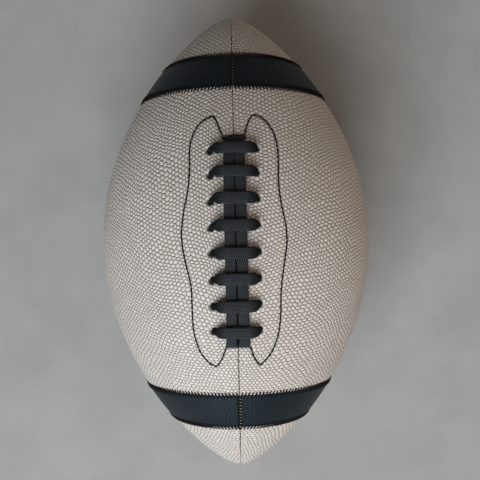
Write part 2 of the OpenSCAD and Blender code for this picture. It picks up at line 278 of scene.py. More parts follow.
def write_points(piece: bpy.types.Object, points: Array) -> None:
    """Moves the vertices of a piece to new points."""
    piece.data.vertices.foreach_set("co", np.ascontiguousarray(points, dtype=float).ravel())
    piece.data.update()


def write_uv(piece: bpy.types.Object, per_vertex: Array) -> None:
    """Gives a piece's own UV map the sizes, in metres, that a pattern follows.

    Args:
        piece: The piece, with its UV map.
        per_vertex: One pair for each vertex.
    """
    corners = np.empty(len(piece.data.loops), dtype=int)
    piece.data.loops.foreach_get("vertex_index", corners)
    piece.data.uv_layers[0].data.foreach_set("uv", per_vertex[corners].ravel())


def write_share(piece: bpy.types.Object, name: str, per_vertex: Array) -> None:
    """Gives a piece an attribute that its finish reads.

    Args:
        piece: The piece.
        name: The attribute's name.
        per_vertex: A number from 0 to 1 for each vertex.
    """
    share = piece.data.attributes.new(name, "FLOAT", "POINT")
    share.data.foreach_set("value", per_vertex)


def face_outwards(piece: bpy.types.Object) -> None:
    """Turns an open skin's faces so that they look away from the long axis.

    Args:
        piece: The skin.
    """
    mesh = piece.data
    centres = np.empty(len(mesh.polygons) * 3)
    normals = np.empty(len(mesh.polygons) * 3)
    mesh.polygons.foreach_get("center", centres)
    mesh.polygons.foreach_get("normal", normals)
    out = centres.reshape(-1, 3) - np.array([0, 0, FORM.axis_height])
    if (out * normals.reshape(-1, 3)).sum() < 0:
        make_active(piece)
        bpy.ops.object.mode_set(mode="EDIT")
        bpy.ops.mesh.select_all(action="SELECT")
        bpy.ops.mesh.flip_normals()
        bpy.ops.object.mode_set(mode="OBJECT")


def close_tube(piece: bpy.types.Object) -> None:
    """Joins the long edges of a rolled sheet, closes its ends and turns its faces outwards.

    Args:
        piece: The rolled sheet.
    """
    make_active(piece)
    bpy.ops.object.mode_set(mode="EDIT")
    bpy.ops.mesh.select_all(action="SELECT")
    bpy.ops.mesh.remove_doubles(threshold=WELD)
    bpy.ops.mesh.fill_holes(sides=0)
    bpy.ops.mesh.select_all(action="SELECT")
    bpy.ops.mesh.normals_make_consistent(inside=False)
    bpy.ops.object.mode_set(mode="OBJECT")


def dress(piece: bpy.types.Object, material: bpy.types.Material) -> None:
    """Gives a new piece its finish, and the body that it rides on.

    Args:
        piece: The piece.
        material: Its finish.
    """
    make_active(piece)
    bpy.ops.object.shade_smooth()
    piece.data.materials.clear()
    piece.data.materials.append(material)
    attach(piece, BODY)


def repeat_piece(name: str, model: bpy.types.Object, frames: Array) -> bpy.types.Object:
    """Copies a small model to many places, as one piece, and removes the model.

    Args:
        name: The new piece's name.
        model: The model, at the origin.
        frames: A 4 by 4 matrix for each copy.

    Returns:
        The new piece.
    """
    points = read_points(model)
    faces = [tuple(face.vertices) for face in model.data.polygons]
    copies = np.einsum("nij,vj->nvi", frames[:, :3, :3], points) + frames[:, None, :3, 3]
    count = len(points)
    every = [tuple(v + k * count for v in face) for k in range(len(frames)) for face in faces]
    mesh = bpy.data.meshes.new(name)
    mesh.from_pydata(copies.reshape(-1, 3).tolist(), [], every)
    piece = bpy.data.objects.new(name, mesh)
    bpy.context.scene.collection.objects.link(piece)
    bpy.data.objects.remove(model)
    return piece


def stitch_frames(start: Array, end: Array, out: Array, thickness: float) -> Array:
    """Matrices that lay a stitch between each pair of points.

    Args:
        start: Where each stitch comes out.
        end: Where each stitch goes in.
        out: The surface's normal at each stitch.
        thickness: Half the thread's diameter.

    Returns:
        A 4 by 4 matrix for each stitch.
    """
    along = end - start
    length = np.linalg.norm(along, axis=1, keepdims=True)
    along = along / length
    across = np.cross(out, along)
    across /= np.linalg.norm(across, axis=1, keepdims=True)
    up = np.cross(along, across)
    frames = np.zeros((len(start), 4, 4))
    frames[:, :3, 0] = along * length / 2
    frames[:, :3, 1] = across * thickness
    frames[:, :3, 2] = up * thickness
    frames[:, :3, 3] = (start + end) / 2
    frames[:, 3, 3] = 1
    return frames


def ridge(distance: Array, crest: float, width: float) -> Array:
    """A rounded ridge, 1 high at its crest.

    Args:
        distance: Distances from a line or a rim.
        crest: The distance at which the ridge is highest.
        width: How far from its crest it has mostly died away.

    Returns:
        The height at each distance.
    """
    return np.exp(-(((distance - crest) / width) ** 2))


def add_stitch(arch: float) -> bpy.types.Object:
    """Models one stitch: a thread that rises out of its hole and goes down into the next.

    Args:
        arch: How far its ends go down, in half thicknesses of the thread.

    Returns:
        The stitch, one thread radius thick and from -1 to 1 long.
    """
    taper, lift = 0.45, 0.45
    deselect_all()
    bpy.ops.mesh.primitive_cylinder_add(vertices=7, radius=1, depth=2, rotation=(0, math.pi / 2, 0))
    stitch = bpy.context.object
    bpy.ops.object.transform_apply(location=False, rotation=True, scale=False)
    bpy.ops.object.mode_set(mode="EDIT")
    for place in (-0.8, -0.4, 0.4, 0.8):
        bpy.ops.mesh.select_all(action="SELECT")
        bpy.ops.mesh.bisect(plane_co=(place, 0, 0), plane_no=(1, 0, 0))
    bpy.ops.object.mode_set(mode="OBJECT")
    points = read_points(stitch)
    share = np.abs(points[:, 0])
    slim = 1 - taper * share**4
    points[:, 1] *= slim
    points[:, 2] = points[:, 2] * slim + lift - arch * share**3
    write_points(stitch, points)
    return stitch


# ---------------------------------------------------------------- node helpers


class NodeSheet:
    """A node tree, with short calls that add nodes and join their sockets."""

    def __init__(self, tree: bpy.types.NodeTree) -> None:
        """Takes the tree to work on."""
        self.tree = tree

    def add(self, kind: str, inputs: dict[str | int, Any] | None = None, **settings: Any) -> Any:
        """Adds a node.

        Args:
            kind: The node's type.
            inputs: A value or a socket for each input, by its name or number.
            **settings: The node's own settings.

        Returns:
            The node.
        """
        node = self.tree.nodes.new(kind)
        for key, value in settings.items():
            setattr(node, key, value)
        for key, value in (inputs or {}).items():
            self.feed(node.inputs[key], value)
        return node

    def feed(self, socket: bpy.types.NodeSocket, value: Any) -> None:
        """Sets an input to a value, or joins it to an output.

        Args:
            socket: The input.
            value: The value or the output.
        """
        if isinstance(value, bpy.types.NodeSocket):
            self.tree.links.new(value, socket)
        else:
            socket.default_value = value

    def math(self, operation: str, a: Any, b: Any = 0.0, clamp: bool = False) -> Any:
        """Adds a Math node.

        Args:
            operation: What it does.
            a: Its first value or socket.
            b: Its second value or socket.
            clamp: Whether its result is kept between 0 and 1.

        Returns:
            Its output.
        """
        node = self.add("ShaderNodeMath", operation=operation, use_clamp=clamp)
        self.feed(node.inputs[0], a)
        self.feed(node.inputs[1], b)
        return node.outputs[0]

    def shift(self, operation: str, a: Any, b: Any = (0.0, 0.0, 0.0)) -> Any:
        """Adds a Vector Math node.

        Args:
            operation: What it does.
            a: Its first vector or socket.
            b: Its second vector or socket, or the factor that it scales by.

        Returns:
            Its output.
        """
        node = self.add("ShaderNodeVectorMath", operation=operation)
        self.feed(node.inputs[0], a)
        self.feed(node.inputs["Scale" if operation == "SCALE" else 1], b)
        return node.outputs[0]

    def choose(self, second: Any, a: Any, b: Any) -> Any:
        """Adds a mix that puts out vector a, or b where second is 1, and returns its output."""
        # The node's vector sockets are inputs 4 and 5 and output 1.
        return self.add("ShaderNodeMix", {0: second, 4: a, 5: b}, data_type="VECTOR").outputs[1]

    def blend(self, factor: Any, a: Any, b: Any) -> Any:
        """Adds a colour mix.

        Args:
            factor: The share of the second colour.
            a: The first colour or socket.
            b: The second colour or socket.

        Returns:
            Its output.
        """
        # The node's colour sockets are inputs 6 and 7 and output 2.
        node = self.add("ShaderNodeMix", data_type="RGBA")
        self.feed(node.inputs[0], factor)
        self.feed(node.inputs[6], (*a, 1) if isinstance(a, tuple) else a)
        self.feed(node.inputs[7], (*b, 1) if isinstance(b, tuple) else b)
        return node.outputs[2]

    def spread(self, value: Any, low: float, high: float, to: tuple[float, float] = (0, 1)) -> Any:
        """Adds a smooth Map Range.

        Args:
            value: What it maps.
            low: The value that becomes the first end of the new range.
            high: The value that becomes its second end.
            to: The new range.

        Returns:
            Its output.
        """
        node = self.add(
            "ShaderNodeMapRange",
            {"Value": value, "From Min": low, "From Max": high, "To Min": to[0], "To Max": to[1]},
            interpolation_type="SMOOTHSTEP",
        )
        return node.outputs[0]

    def noise(self, place: Any, size: float, detail: float = 2.0, rough: float = 0.5) -> Any:
        """Adds a Noise Texture.

        Args:
            place: The place that it reads.
            size: The size of its features, in metres.
            detail: How many finer layers it has.
            rough: How strong the finer layers are.

        Returns:
            Its value.
        """
        node = self.add(
            "ShaderNodeTexNoise",
            {"Vector": place, "Scale": 1 / size, "Detail": detail, "Roughness": rough},
        )
        return node.outputs[0]


class Effect:
    """A shader node group that is built once and placed in each material that uses it."""

    def __init__(self, name: str, inputs: dict[str, Any], outputs: list[str]) -> None:
        """Makes the empty group.

        Args:
            name: The group's name.
            inputs: Each input's name and default; a None is a place.
            outputs: The names of the values that it puts out.
        """
        self.tree = bpy.data.node_groups.new(name, "ShaderNodeTree")
        for key, value in inputs.items():
            kind = "NodeSocketVector" if value is None else "NodeSocketFloat"
            socket = self.tree.interface.new_socket(name=key, in_out="INPUT", socket_type=kind)
            if value is not None:
                socket.default_value = value
        for key in outputs:
            self.tree.interface.new_socket(name=key, in_out="OUTPUT", socket_type="NodeSocketFloat")
        self.sheet = NodeSheet(self.tree)
        self.start = self.sheet.add("NodeGroupInput").outputs
        self.end = self.sheet.add("NodeGroupOutput").inputs

    def put(self, sheet: NodeSheet, inputs: dict[str, Any]) -> Any:
        """Places the effect in a material.

        Args:
            sheet: The material's nodes.
            inputs: A value or a socket for each input.

        Returns:
            The outputs of the placed group.
        """
        node = sheet.add("ShaderNodeGroup", node_tree=self.tree)
        for key, value in inputs.items():
            sheet.feed(node.inputs[key], value)
        return node.outputs


@dataclass(frozen=True)
class PebbleForm:
    """The lattice of the pebbles and the form of one, in shares of their pitch.

    Each wander is the size of its waves and how far it carries the rows out of line.
    """

    crowding: float = 1.17
    wanders: tuple[tuple[float, float], ...] = ((14.0, 4.2), (2.8, 1.0), (1.2, 0.4))
    crown_power: float = 7.0
    crown_share: float = 0.68
    rise_power: float = 2.0
    rise_share: float = 0.32
    least_height: float = 0.7
    height_spread: float = 0.3
    groove_start: float = 0.83

    def bend_rows(self, sheet: NodeSheet, scaled: Any, unevenness: Any) -> Any:
        """Carries the rows out of line.

        Args:
            sheet: The group's nodes.
            scaled: The place on the leather, in pitches.
            unevenness: How strong the wanders are.

        Returns:
            The place that the lattice is read at.
        """
        # Noise lies half its range either side of its middle, so a wander is doubled.
        moved = scaled
        for size, share in self.wanders:
            wander = sheet.add(
                "ShaderNodeTexNoise",
                {"Vector": scaled, "Scale": 1 / size, "Detail": 0.0},
                noise_dimensions="2D",
            )
            centred = sheet.shift("SUBTRACT", wander.outputs["Color"], (0.5, 0.5, 0.5))
            reach = sheet.math("MULTIPLY", unevenness, share * 2)
            moved = sheet.shift("ADD", moved, sheet.shift("SCALE", centred, reach))
        return moved

    def find_pebble(self, sheet: NodeSheet, moved: Any) -> tuple[Any, Any]:
        """Finds the nearest middle in two crossed lattices, which make one lattice of hexagons.

        Args:
            sheet: The group's nodes.
            moved: The place that the lattice is read at.

        Returns:
            The way from the nearest middle, and that middle.
        """
        cell = (1.0, math.sqrt(3), 1.0)
        shares = sheet.shift("DIVIDE", moved, cell)
        centres, away, far = [], [], []
        for offset in (0.0, 0.5):
            moved_by = (offset, offset, 0)
            row = sheet.shift("FLOOR", sheet.shift("ADD", shares, moved_by))
            row = sheet.shift("SUBTRACT", sheet.shift("ADD", row, (0.5, 0.5, 0)), moved_by)
            centre = sheet.shift("MULTIPLY", row, cell)
            way = sheet.shift("MULTIPLY", sheet.shift("SUBTRACT", moved, centre), (1, 1, 0))
            length = sheet.add("ShaderNodeVectorMath", {0: way}, operation="LENGTH")
            centres.append(centre)
            away.append(way)
            far.append(length.outputs["Value"])
        second = sheet.math("GREATER_THAN", far[0], far[1])
        return sheet.choose(second, *away), sheet.choose(second, *centres)


def make_pebble(form: PebbleForm = PebbleForm()) -> Effect:
    """Pebbled leather: close rows of rounded lumps, bent a little out of line.

    Args:
        form: The pebbles' lattice and form.

    Returns:
        The effect.
    """
    effect = Effect(
        "pebble", {"Plan": None, "Pitch": 0.002, "Unevenness": 0.3}, ["Height", "Groove", "Lump"]
    )
    sheet, start = effect.sheet, effect.start
    crowded = sheet.shift("MULTIPLY", start["Plan"], (1.0, form.crowding, 1.0))
    scaled = sheet.shift("SCALE", crowded, sheet.math("DIVIDE", 1.0, start["Pitch"]))
    away, centre = form.find_pebble(sheet, form.bend_rows(sheet, scaled, start["Unevenness"]))
    across = sheet.add("ShaderNodeSeparateXYZ", {0: sheet.shift("ABSOLUTE", away)}).outputs
    slanted = sheet.math(
        "ADD",
        sheet.math("MULTIPLY", across[0], 0.5),
        sheet.math("MULTIPLY", across[1], math.sqrt(3) / 2),
    )
    edge = sheet.math("MULTIPLY", sheet.math("MAXIMUM", across[0], slanted), 2.0)
    fall = sheet.math("POWER", edge, form.crown_power, clamp=True)
    crown = sheet.math("SQRT", sheet.math("SUBTRACT", 1.0, fall, clamp=True))
    fall = sheet.math("POWER", edge, form.rise_power, clamp=True)
    rise = sheet.math("SUBTRACT", 1.0, fall, clamp=True)
    dome = sheet.math(
        "ADD",
        sheet.math("MULTIPLY", crown, form.crown_share),
        sheet.math("MULTIPLY", rise, form.rise_share),
    )
    tone = sheet.add("ShaderNodeTexWhiteNoise", {0: centre}, noise_dimensions="3D").outputs["Value"]
    size = sheet.math("ADD", sheet.math("MULTIPLY", tone, form.height_spread), form.least_height)
    sheet.feed(effect.end["Height"], sheet.math("MULTIPLY", dome, size))
    sheet.feed(effect.end["Groove"], sheet.spread(edge, form.groove_start, 1.0))
    sheet.feed(effect.end["Lump"], tone)
    return effect


def make_wear() -> Effect:
    """Uneven soil and handling: broad patches and small specks, each from 0 to 1.

    Returns:
        The effect.
    """
    effect = Effect("wear", {"Place": None, "Patch": 0.05, "Speck": 0.002}, ["Patches", "Specks"])
    sheet, start = effect.sheet, effect.start
    marks = (("Patch", "Patches", 0.36, 0.66), ("Speck", "Specks", 0.60, 0.74))
    for size, out, low, high in marks:
        noise = sheet.add(
            "ShaderNodeTexNoise",
            {
                "Vector": start["Place"],
                "Scale": sheet.math("DIVIDE", 1.0, start[size]),
                "Detail": 4.0,
                "Roughness": 0.6,
            },
        )
        sheet.feed(effect.end[out], sheet.spread(noise.outputs[0], low, high))
    return effect


@dataclass
class Effects:
    """The effects that several finishes share."""

    pebble: Effect = field(default_factory=make_pebble)
    wear: Effect = field(default_factory=make_wear)


# ---------------------------------------------------------------- finishes


def start_material(name: str) -> tuple[bpy.types.Material, NodeSheet, Any, Any]:
    """Makes a node material.

    Args:
        name: The material's name.

    Returns:
        The material, its nodes, its shader and the place on the piece.
    """
    material = bpy.data.materials.new(name)
    material.use_nodes = True
    material.node_tree.nodes.clear()
    sheet = NodeSheet(material.node_tree)
    shader = sheet.add("ShaderNodeBsdfPrincipled")
    output = sheet.add("ShaderNodeOutputMaterial")
    sheet.feed(output.inputs["Surface"], shader.outputs[0])
    place = sheet.add("ShaderNodeTexCoord").outputs["Object"]
    return material, sheet, shader, place


def add_relief(
    sheet: NodeSheet, shader: Any, coarse: Any, depth: float, fine: Any, fine_depth: float
) -> None:
    """Joins a coarse and a fine relief to a shader's normal.

    Args:
        sheet: The material's nodes.
        shader: Its Principled shader.
        coarse: Height of the coarse relief, from 0 to 1.
        depth: Depth of the coarse relief, in metres.
        fine: Height of the fine relief, from 0 to 1.
        fine_depth: Depth of the fine relief, in metres.
    """
    first = sheet.add("ShaderNodeBump", {"Height": coarse, "Distance": depth, "Strength": 1.0})
    second = sheet.add(
        "ShaderNodeBump",
        {"Height": fine, "Distance": fine_depth, "Strength": 1.0, "Normal": first.outputs[0]},
    )
    sheet.feed(shader.inputs["Normal"], second.outputs[0])


@dataclass(frozen=True)
class PebbledLeather:
    """Pebbled leather, with paler crowns, grooves darkened with painted shade and a little uneven
    soil.

    Where the lace pulls it tight, its pebbles are drawn flat and it is paler.
    """

    name: str
    crown: Colour
    # colour of the painted shade in the grooves between the pebbles; the dark specks take it too
    groove: Colour
    soil: Colour
    stretched: Colour
    pitch: float = 2.8 * MM
    relief: float = 1.2 * MM
    # share of the painted shade in the grooves
    depth: float = 0.72
    roughness: float = 0.58
    specular: float = 0.3
    tint: Colour = (1.0, 1.0, 1.0)
    sheen: float = 0.1
    sheen_roughness: float = 0.5
    patch: float = 50 * MM
    speck: float = 1.6 * MM
    drawn_flat: float = 0.85
    paled: float = 0.75
    soiled_pebbles: float = 0.22
    soiled_patches: float = 0.22
    dark_specks: float = 0.18
    dull_patches: float = 0.1
    dull_grooves: float = 0.2
    skin: float = 0.4 * MM
    skin_depth: float = 0.05 * MM

    def build(self, effects: Effects) -> bpy.types.Material:
        """Makes the material.

        Args:
            effects: The shared effects.

        Returns:
            The material.
        """
        material, sheet, shader, place = start_material(self.name)
        plan = sheet.add("ShaderNodeUVMap", uv_map="UVMap").outputs[0]
        pebble = effects.pebble.put(sheet, {"Plan": plan, "Pitch": self.pitch})
        wear = effects.wear.put(sheet, {"Place": place, "Patch": self.patch, "Speck": self.speck})
        strain = sheet.add("ShaderNodeAttribute", attribute_name=STRAIN).outputs["Fac"]
        flattened = sheet.math("MULTIPLY", strain, self.drawn_flat)
        slack = sheet.math("SUBTRACT", 1.0, flattened, clamp=True)
        # painted shade: the grooves between the pebbles are darkened towards the groove colour, as
        # shade would fall in them
        grooves = sheet.math("MULTIPLY", pebble["Groove"], self.depth)
        body = sheet.blend(sheet.math("MULTIPLY", grooves, slack), self.crown, self.groove)
        for mask, share, colour in (
            (pebble["Lump"], self.soiled_pebbles, self.soil),
            (wear["Patches"], self.soiled_patches, self.soil),
            (wear["Specks"], self.dark_specks, self.groove),
            (strain, self.paled, self.stretched),
        ):
            body = sheet.blend(sheet.math("MULTIPLY", mask, share), body, colour)
        sheet.feed(shader.inputs["Base Color"], body)
        dull = sheet.math("MULTIPLY", wear["Patches"], self.dull_patches)
        rough = sheet.math("ADD", dull, self.roughness)
        dull = sheet.math("MULTIPLY", pebble["Groove"], self.dull_grooves)
        sheet.feed(shader.inputs["Roughness"], sheet.math("ADD", rough, dull))
        shader.inputs["Specular IOR Level"].default_value = self.specular
        shader.inputs["Specular Tint"].default_value = (*self.tint, 1)
        shader.inputs["Sheen Weight"].default_value = self.sheen
        shader.inputs["Sheen Roughness"].default_value = self.sheen_roughness
        skin = sheet.noise(place, self.skin, 3.0, 0.65)
        height = sheet.math("MULTIPLY", pebble["Height"], slack)
        add_relief(sheet, shader, height, self.relief, skin, self.skin_depth)
        return material


@dataclass(frozen=True)
class LaceVinyl:
    """Woven lace with a vinyl face, embossed with small raised dots in diagonal rows; the dots'
    pale bluish colour is partly wear and partly painted highlight.

    It is worn dull where it rubs on the rims of its holes, and its ends are darkened there with
    painted shade where they go into the holes.
    """

    name: str
    # colour of the raised dots: partly worn vinyl, partly painted highlight
    face: Colour
    valley: Colour
    dust: Colour
    dot: float = 1.2 * MM
    dot_edge: tuple[float, float] = (0.4, 0.95)
    relief: float = 0.1 * MM
    roughness: tuple[float, float] = (0.95, 0.36)
    specular: float = 0.3
    tint: Colour = (0.85, 0.94, 1.0)
    patch: float = 12 * MM
    speck: float = 0.9 * MM
    dusty_patches: float = 0.12
    dusty_specks: float = 0.2
    # share of the painted shade at the lace's ends, by the holes
    painted_hole_shade: float = 0.93
    rubbed_dull: float = 0.4
    skin: float = 0.4 * MM
    skin_depth: float = 0.06 * MM

    def build(self, effects: Effects) -> bpy.types.Material:
        """Makes the material.

        Args:
            effects: The shared effects.

        Returns:
            The material.
        """
        material, sheet, shader, place = start_material(self.name)
        plan = sheet.add("ShaderNodeUVMap", uv_map="UVMap").outputs[0]
        split = sheet.add("ShaderNodeSeparateXYZ", {"Vector": plan})
        turn = 2 * math.pi / self.dot
        across = sheet.math("COSINE", sheet.math("MULTIPLY", split.outputs[0], turn))
        along = sheet.math("COSINE", sheet.math("MULTIPLY", split.outputs[1], turn))
        dots = sheet.spread(sheet.math("MULTIPLY", across, along), *self.dot_edge)
        wear = effects.wear.put(sheet, {"Place": place, "Patch": self.patch, "Speck": self.speck})
        hole_shade_and_rub = sheet.add("ShaderNodeAttribute", attribute_name=HOLE_SHADE_AND_RUB).outputs["Fac"]
        # the raised dots take the pale face colour, partly wear and partly painted highlight
        body = sheet.blend(dots, self.valley, self.face)
        for mask, share, colour in (
            (wear["Patches"], self.dusty_patches, self.dust),
            (wear["Specks"], self.dusty_specks, self.dust),
            # painted shade: the lace is darkened towards its ends, where they go into the holes
            (hole_shade_and_rub, self.painted_hole_shade, self.valley),
        ):
            body = sheet.blend(sheet.math("MULTIPLY", mask, share), body, colour)
        sheet.feed(shader.inputs["Base Color"], body)
        rough = sheet.spread(dots, 0.0, 1.0, self.roughness)
        dull = sheet.math("MULTIPLY", hole_shade_and_rub, self.rubbed_dull)
        sheet.feed(shader.inputs["Roughness"], sheet.math("ADD", rough, dull, clamp=True))
        shader.inputs["Specular IOR Level"].default_value = self.specular
        shader.inputs["Specular Tint"].default_value = (*self.tint, 1)
        skin = sheet.noise(place, self.skin, 3.0, 0.6)
        add_relief(sheet, shader, dots, self.relief, skin, self.skin_depth)
        return material


@dataclass(frozen=True)
class TwistedThread:
    """Sewing thread: a dark fibre with a fine twist."""

    name: str
    colour: Colour
    lit: Colour
    turns: float = 900.0
    unevenness: float = 3.0
    lit_twist: float = 0.5
    lit_patches: float = 0.3
    roughness: tuple[float, float] = (0.8, 0.65)
    specular: float = 0.25
    patch: float = 8 * MM
    speck: float = 0.8 * MM
    depth: float = 0.12 * MM
    fuzz: float = 0.3 * MM
    fuzz_depth: float = 0.04 * MM

    def build(self, effects: Effects) -> bpy.types.Material:
        """Makes the material.

        Args:
            effects: The shared effects.

        Returns:
            The material.
        """
        material, sheet, shader, place = start_material(self.name)
        wave = {"Vector": place, "Scale": self.turns, "Distortion": self.unevenness}
        twist = sheet.add("ShaderNodeTexWave", wave).outputs["Fac"]
        wear = effects.wear.put(sheet, {"Place": place, "Patch": self.patch, "Speck": self.speck})
        body = sheet.blend(sheet.math("MULTIPLY", twist, self.lit_twist), self.colour, self.lit)
        lit = sheet.math("MULTIPLY", wear["Patches"], self.lit_patches)
        sheet.feed(shader.inputs["Base Color"], sheet.blend(lit, body, self.lit))
        sheet.feed(shader.inputs["Roughness"], sheet.spread(twist, 0.0, 1.0, self.roughness))
        shader.inputs["Specular IOR Level"].default_value = self.specular
        fuzz = sheet.noise(place, self.fuzz)
        add_relief(sheet, shader, twist, self.depth, fuzz, self.fuzz_depth)
        return material


@dataclass(frozen=True)
class PlainCloth:
    """Woven cotton of the linings and the flap."""

    name: str
    colour: Colour
    shade: Colour
    pitch: float = 0.9 * MM
    roughness: tuple[float, float] = (0.95, 0.8)
    patch: float = 30 * MM
    speck: float = 1.0 * MM
    worn_patches: float = 0.3
    depth: float = 0.15 * MM
    fuzz: float = 0.4 * MM
    fuzz_depth: float = 0.05 * MM

    def build(self, effects: Effects) -> bpy.types.Material:
        """Makes the material.

        Args:
            effects: The shared effects.

        Returns:
            The material.
        """
        material, sheet, shader, place = start_material(self.name)
        split = sheet.add("ShaderNodeSeparateXYZ", {"Vector": place})
        turn = 2 * math.pi / self.pitch
        warp = sheet.math("SINE", sheet.math("MULTIPLY", split.outputs[1], turn))
        lie = sheet.math("ADD", split.outputs[0], split.outputs[2])
        weft = sheet.math("SINE", sheet.math("MULTIPLY", lie, turn))
        weave = sheet.spread(sheet.math("MULTIPLY", warp, weft), -1.0, 1.0)
        wear = effects.wear.put(sheet, {"Place": place, "Patch": self.patch, "Speck": self.speck})
        body = sheet.blend(weave, self.shade, self.colour)
        worn = sheet.math("MULTIPLY", wear["Patches"], self.worn_patches)
        sheet.feed(shader.inputs["Base Color"], sheet.blend(worn, body, self.shade))
        sheet.feed(shader.inputs["Roughness"], sheet.spread(weave, 0.0, 1.0, self.roughness))
        fuzz = sheet.noise(place, self.fuzz)
        add_relief(sheet, shader, weave, self.depth, fuzz, self.fuzz_depth)
        return material


@dataclass(frozen=True)
class SmoothFinish:
    """Smooth rubber or split leather, with faint mottling and a fine skin."""

    name: str
    colour: Colour
    shade: Colour
    roughness: float = 0.5
    grain: float = 0.8 * MM
    patch: float = 15 * MM
    speck: float = 0.8 * MM
    mottled_patches: float = 0.5
    mottled_specks: float = 0.4
    dull_patches: float = 0.15
    swell: float = 3.2 * MM
    swell_depth: float = 0.08 * MM
    grain_depth: float = 0.05 * MM

    def build(self, effects: Effects) -> bpy.types.Material:
        """Makes the material.

        Args:
            effects: The shared effects.

        Returns:
            The material.
        """
        material, sheet, shader, place = start_material(self.name)
        wear = effects.wear.put(sheet, {"Place": place, "Patch": self.patch, "Speck": self.speck})
        mottle = sheet.math("MULTIPLY", wear["Patches"], self.mottled_patches)
        body = sheet.blend(mottle, self.colour, self.shade)
        mottle = sheet.math("MULTIPLY", wear["Specks"], self.mottled_specks)
        sheet.feed(shader.inputs["Base Color"], sheet.blend(mottle, body, self.shade))
        dull = sheet.math("MULTIPLY", wear["Patches"], self.dull_patches)
        sheet.feed(shader.inputs["Roughness"], sheet.math("ADD", dull, self.roughness))
        swell, grain = sheet.noise(place, self.swell), sheet.noise(place, self.grain)
        add_relief(sheet, shader, swell, self.swell_depth, grain, self.grain_depth)
        return material


@dataclass
class Finishes:
    """All the finishes of the ball."""

    effects: Effects = field(default_factory=Effects)

    def __post_init__(self) -> None:
        """Builds each material once."""
        made = self.effects
        self.leather = PebbledLeather(
            "pebbled_leather",
            crown=(0.66, 0.632, 0.608),
            # the groove colour is painted shade in the grooves between the pebbles
            groove=(0.135, 0.086, 0.058),
            soil=(0.52, 0.475, 0.435),
            stretched=(0.75, 0.725, 0.7),
        ).build(made)
        self.stripe = PebbledLeather(
            "stripe_leather",
            # the groove colour is painted shade in the grooves between the pebbles
            crown=(0.0036, 0.0058, 0.008),
            groove=(0.0015, 0.0022, 0.003),
            soil=(0.005, 0.008, 0.0115),
            stretched=(0.008, 0.011, 0.014),
            pitch=2.4 * MM,
            relief=0.45 * MM,
            roughness=0.44,
            specular=0.38,
            tint=(0.54, 0.78, 1.0),
            sheen=0.0,
        ).build(made)
        self.lace = LaceVinyl(
            "lace_vinyl",
            # the pale face of the dots is partly wear and partly painted highlight
            face=(0.2, 0.242, 0.292),
            valley=(0.0006, 0.0007, 0.0008),
            dust=(0.035, 0.04, 0.045),
        ).build(made)
        dark, worn = (0.002, 0.002, 0.002), (0.006, 0.0055, 0.0055)
        self.thread = TwistedThread("thread", dark, worn).build(made)
        # pale thread of the seam stitches that are painted highlights between the dark ones
        pale, bright = (0.38, 0.36, 0.35), (0.55, 0.53, 0.52)
        self.highlight_thread = TwistedThread("highlight_thread", pale, bright).build(made)
        brown, tan = (0.05, 0.036, 0.028), (0.10, 0.075, 0.06)
        self.seam_thread = TwistedThread("seam_thread", brown, tan).build(made)
        cotton, fold = (0.68, 0.66, 0.6), (0.45, 0.43, 0.38)
        self.lining = PlainCloth("lining_cloth", cotton, fold).build(made)
        charcoal, black = (0.06, 0.06, 0.06), (0.025, 0.025, 0.025)
        self.tongue = PlainCloth("flap_cloth", charcoal, black).build(made)
        split, edge = (0.4, 0.27, 0.16), (0.28, 0.18, 0.1)
        self.facing = SmoothFinish("facing_leather", split, edge, 0.7).build(made)
        orange, rust = (0.6, 0.14, 0.04), (0.4, 0.09, 0.03)
        self.bladder = SmoothFinish("bladder_rubber", orange, rust, 0.45).build(made)
        rubber, chalk = (0.02, 0.02, 0.02), (0.045, 0.043, 0.04)
        self.valve = SmoothFinish("valve_rubber", rubber, chalk, 0.5).build(made)
        rubber, chalk = (0.05, 0.05, 0.052), (0.09, 0.087, 0.08)
        self.plug = SmoothFinish("plug_rubber", rubber, chalk, 0.55).build(made)


# ---------------------------------------------------------------- topstitching line


def curve_through(knots: Array) -> Array:
    """A smooth run through points.

    Args:
        knots: The points, one a row.

    Returns:
        Many points along the run.
    """
    steps = 60
    ends = np.vstack([2 * knots[0] - knots[1], knots, 2 * knots[-1] - knots[-2]])
    share = np.linspace(0, 1, steps, endpoint=False)[:, None]
    run = []
    for a, b, c, d in zip(ends, ends[1:], ends[2:], ends[3:]):
        bend = (2 * a - 5 * b + 4 * c - d) * share**2 + (3 * b - a - 3 * c + d) * share**3
        run.append(0.5 * (2 * b + (c - a) * share + bend))
    return np.vstack(run)


@dataclass(frozen=True)
class SewnOutline:
    """The topstitched line that holds a facing, on one side of the lacing.

    It goes from the far end of the lacing up to a corner, round to the corner at the near end,
    and back to the lacing. The points are places beside the seam and along the axis, in
    millimetres.
    """

    side: Side
    far_leg: tuple[tuple[float, float], ...]
    round: tuple[tuple[float, float], ...]
    near_leg: tuple[tuple[float, float], ...]

    def path(self, spacing: float) -> Array:
        """The line, in equal steps.

        Args:
            spacing: Distance between the places that are given back.

        Returns:
            Distance beside the seam and place along the axis, one pair a row.
        """
        legs = (self.far_leg, self.round, self.near_leg)
        runs = [curve_through(np.array(leg) * MM) for leg in legs]
        run = np.vstack([*runs, np.array(self.near_leg[-1:]) * MM])
        run[:, 0] *= self.side.value
        length = np.concatenate([[0], np.cumsum(np.hypot(*np.diff(run, axis=0).T))])
        count = max(2, int(round(length[-1] / spacing)))
        at = np.linspace(0, length[-1], count + 1)
        return np.stack([np.interp(at, length, run[:, 0]), np.interp(at, length, run[:, 1])], -1)


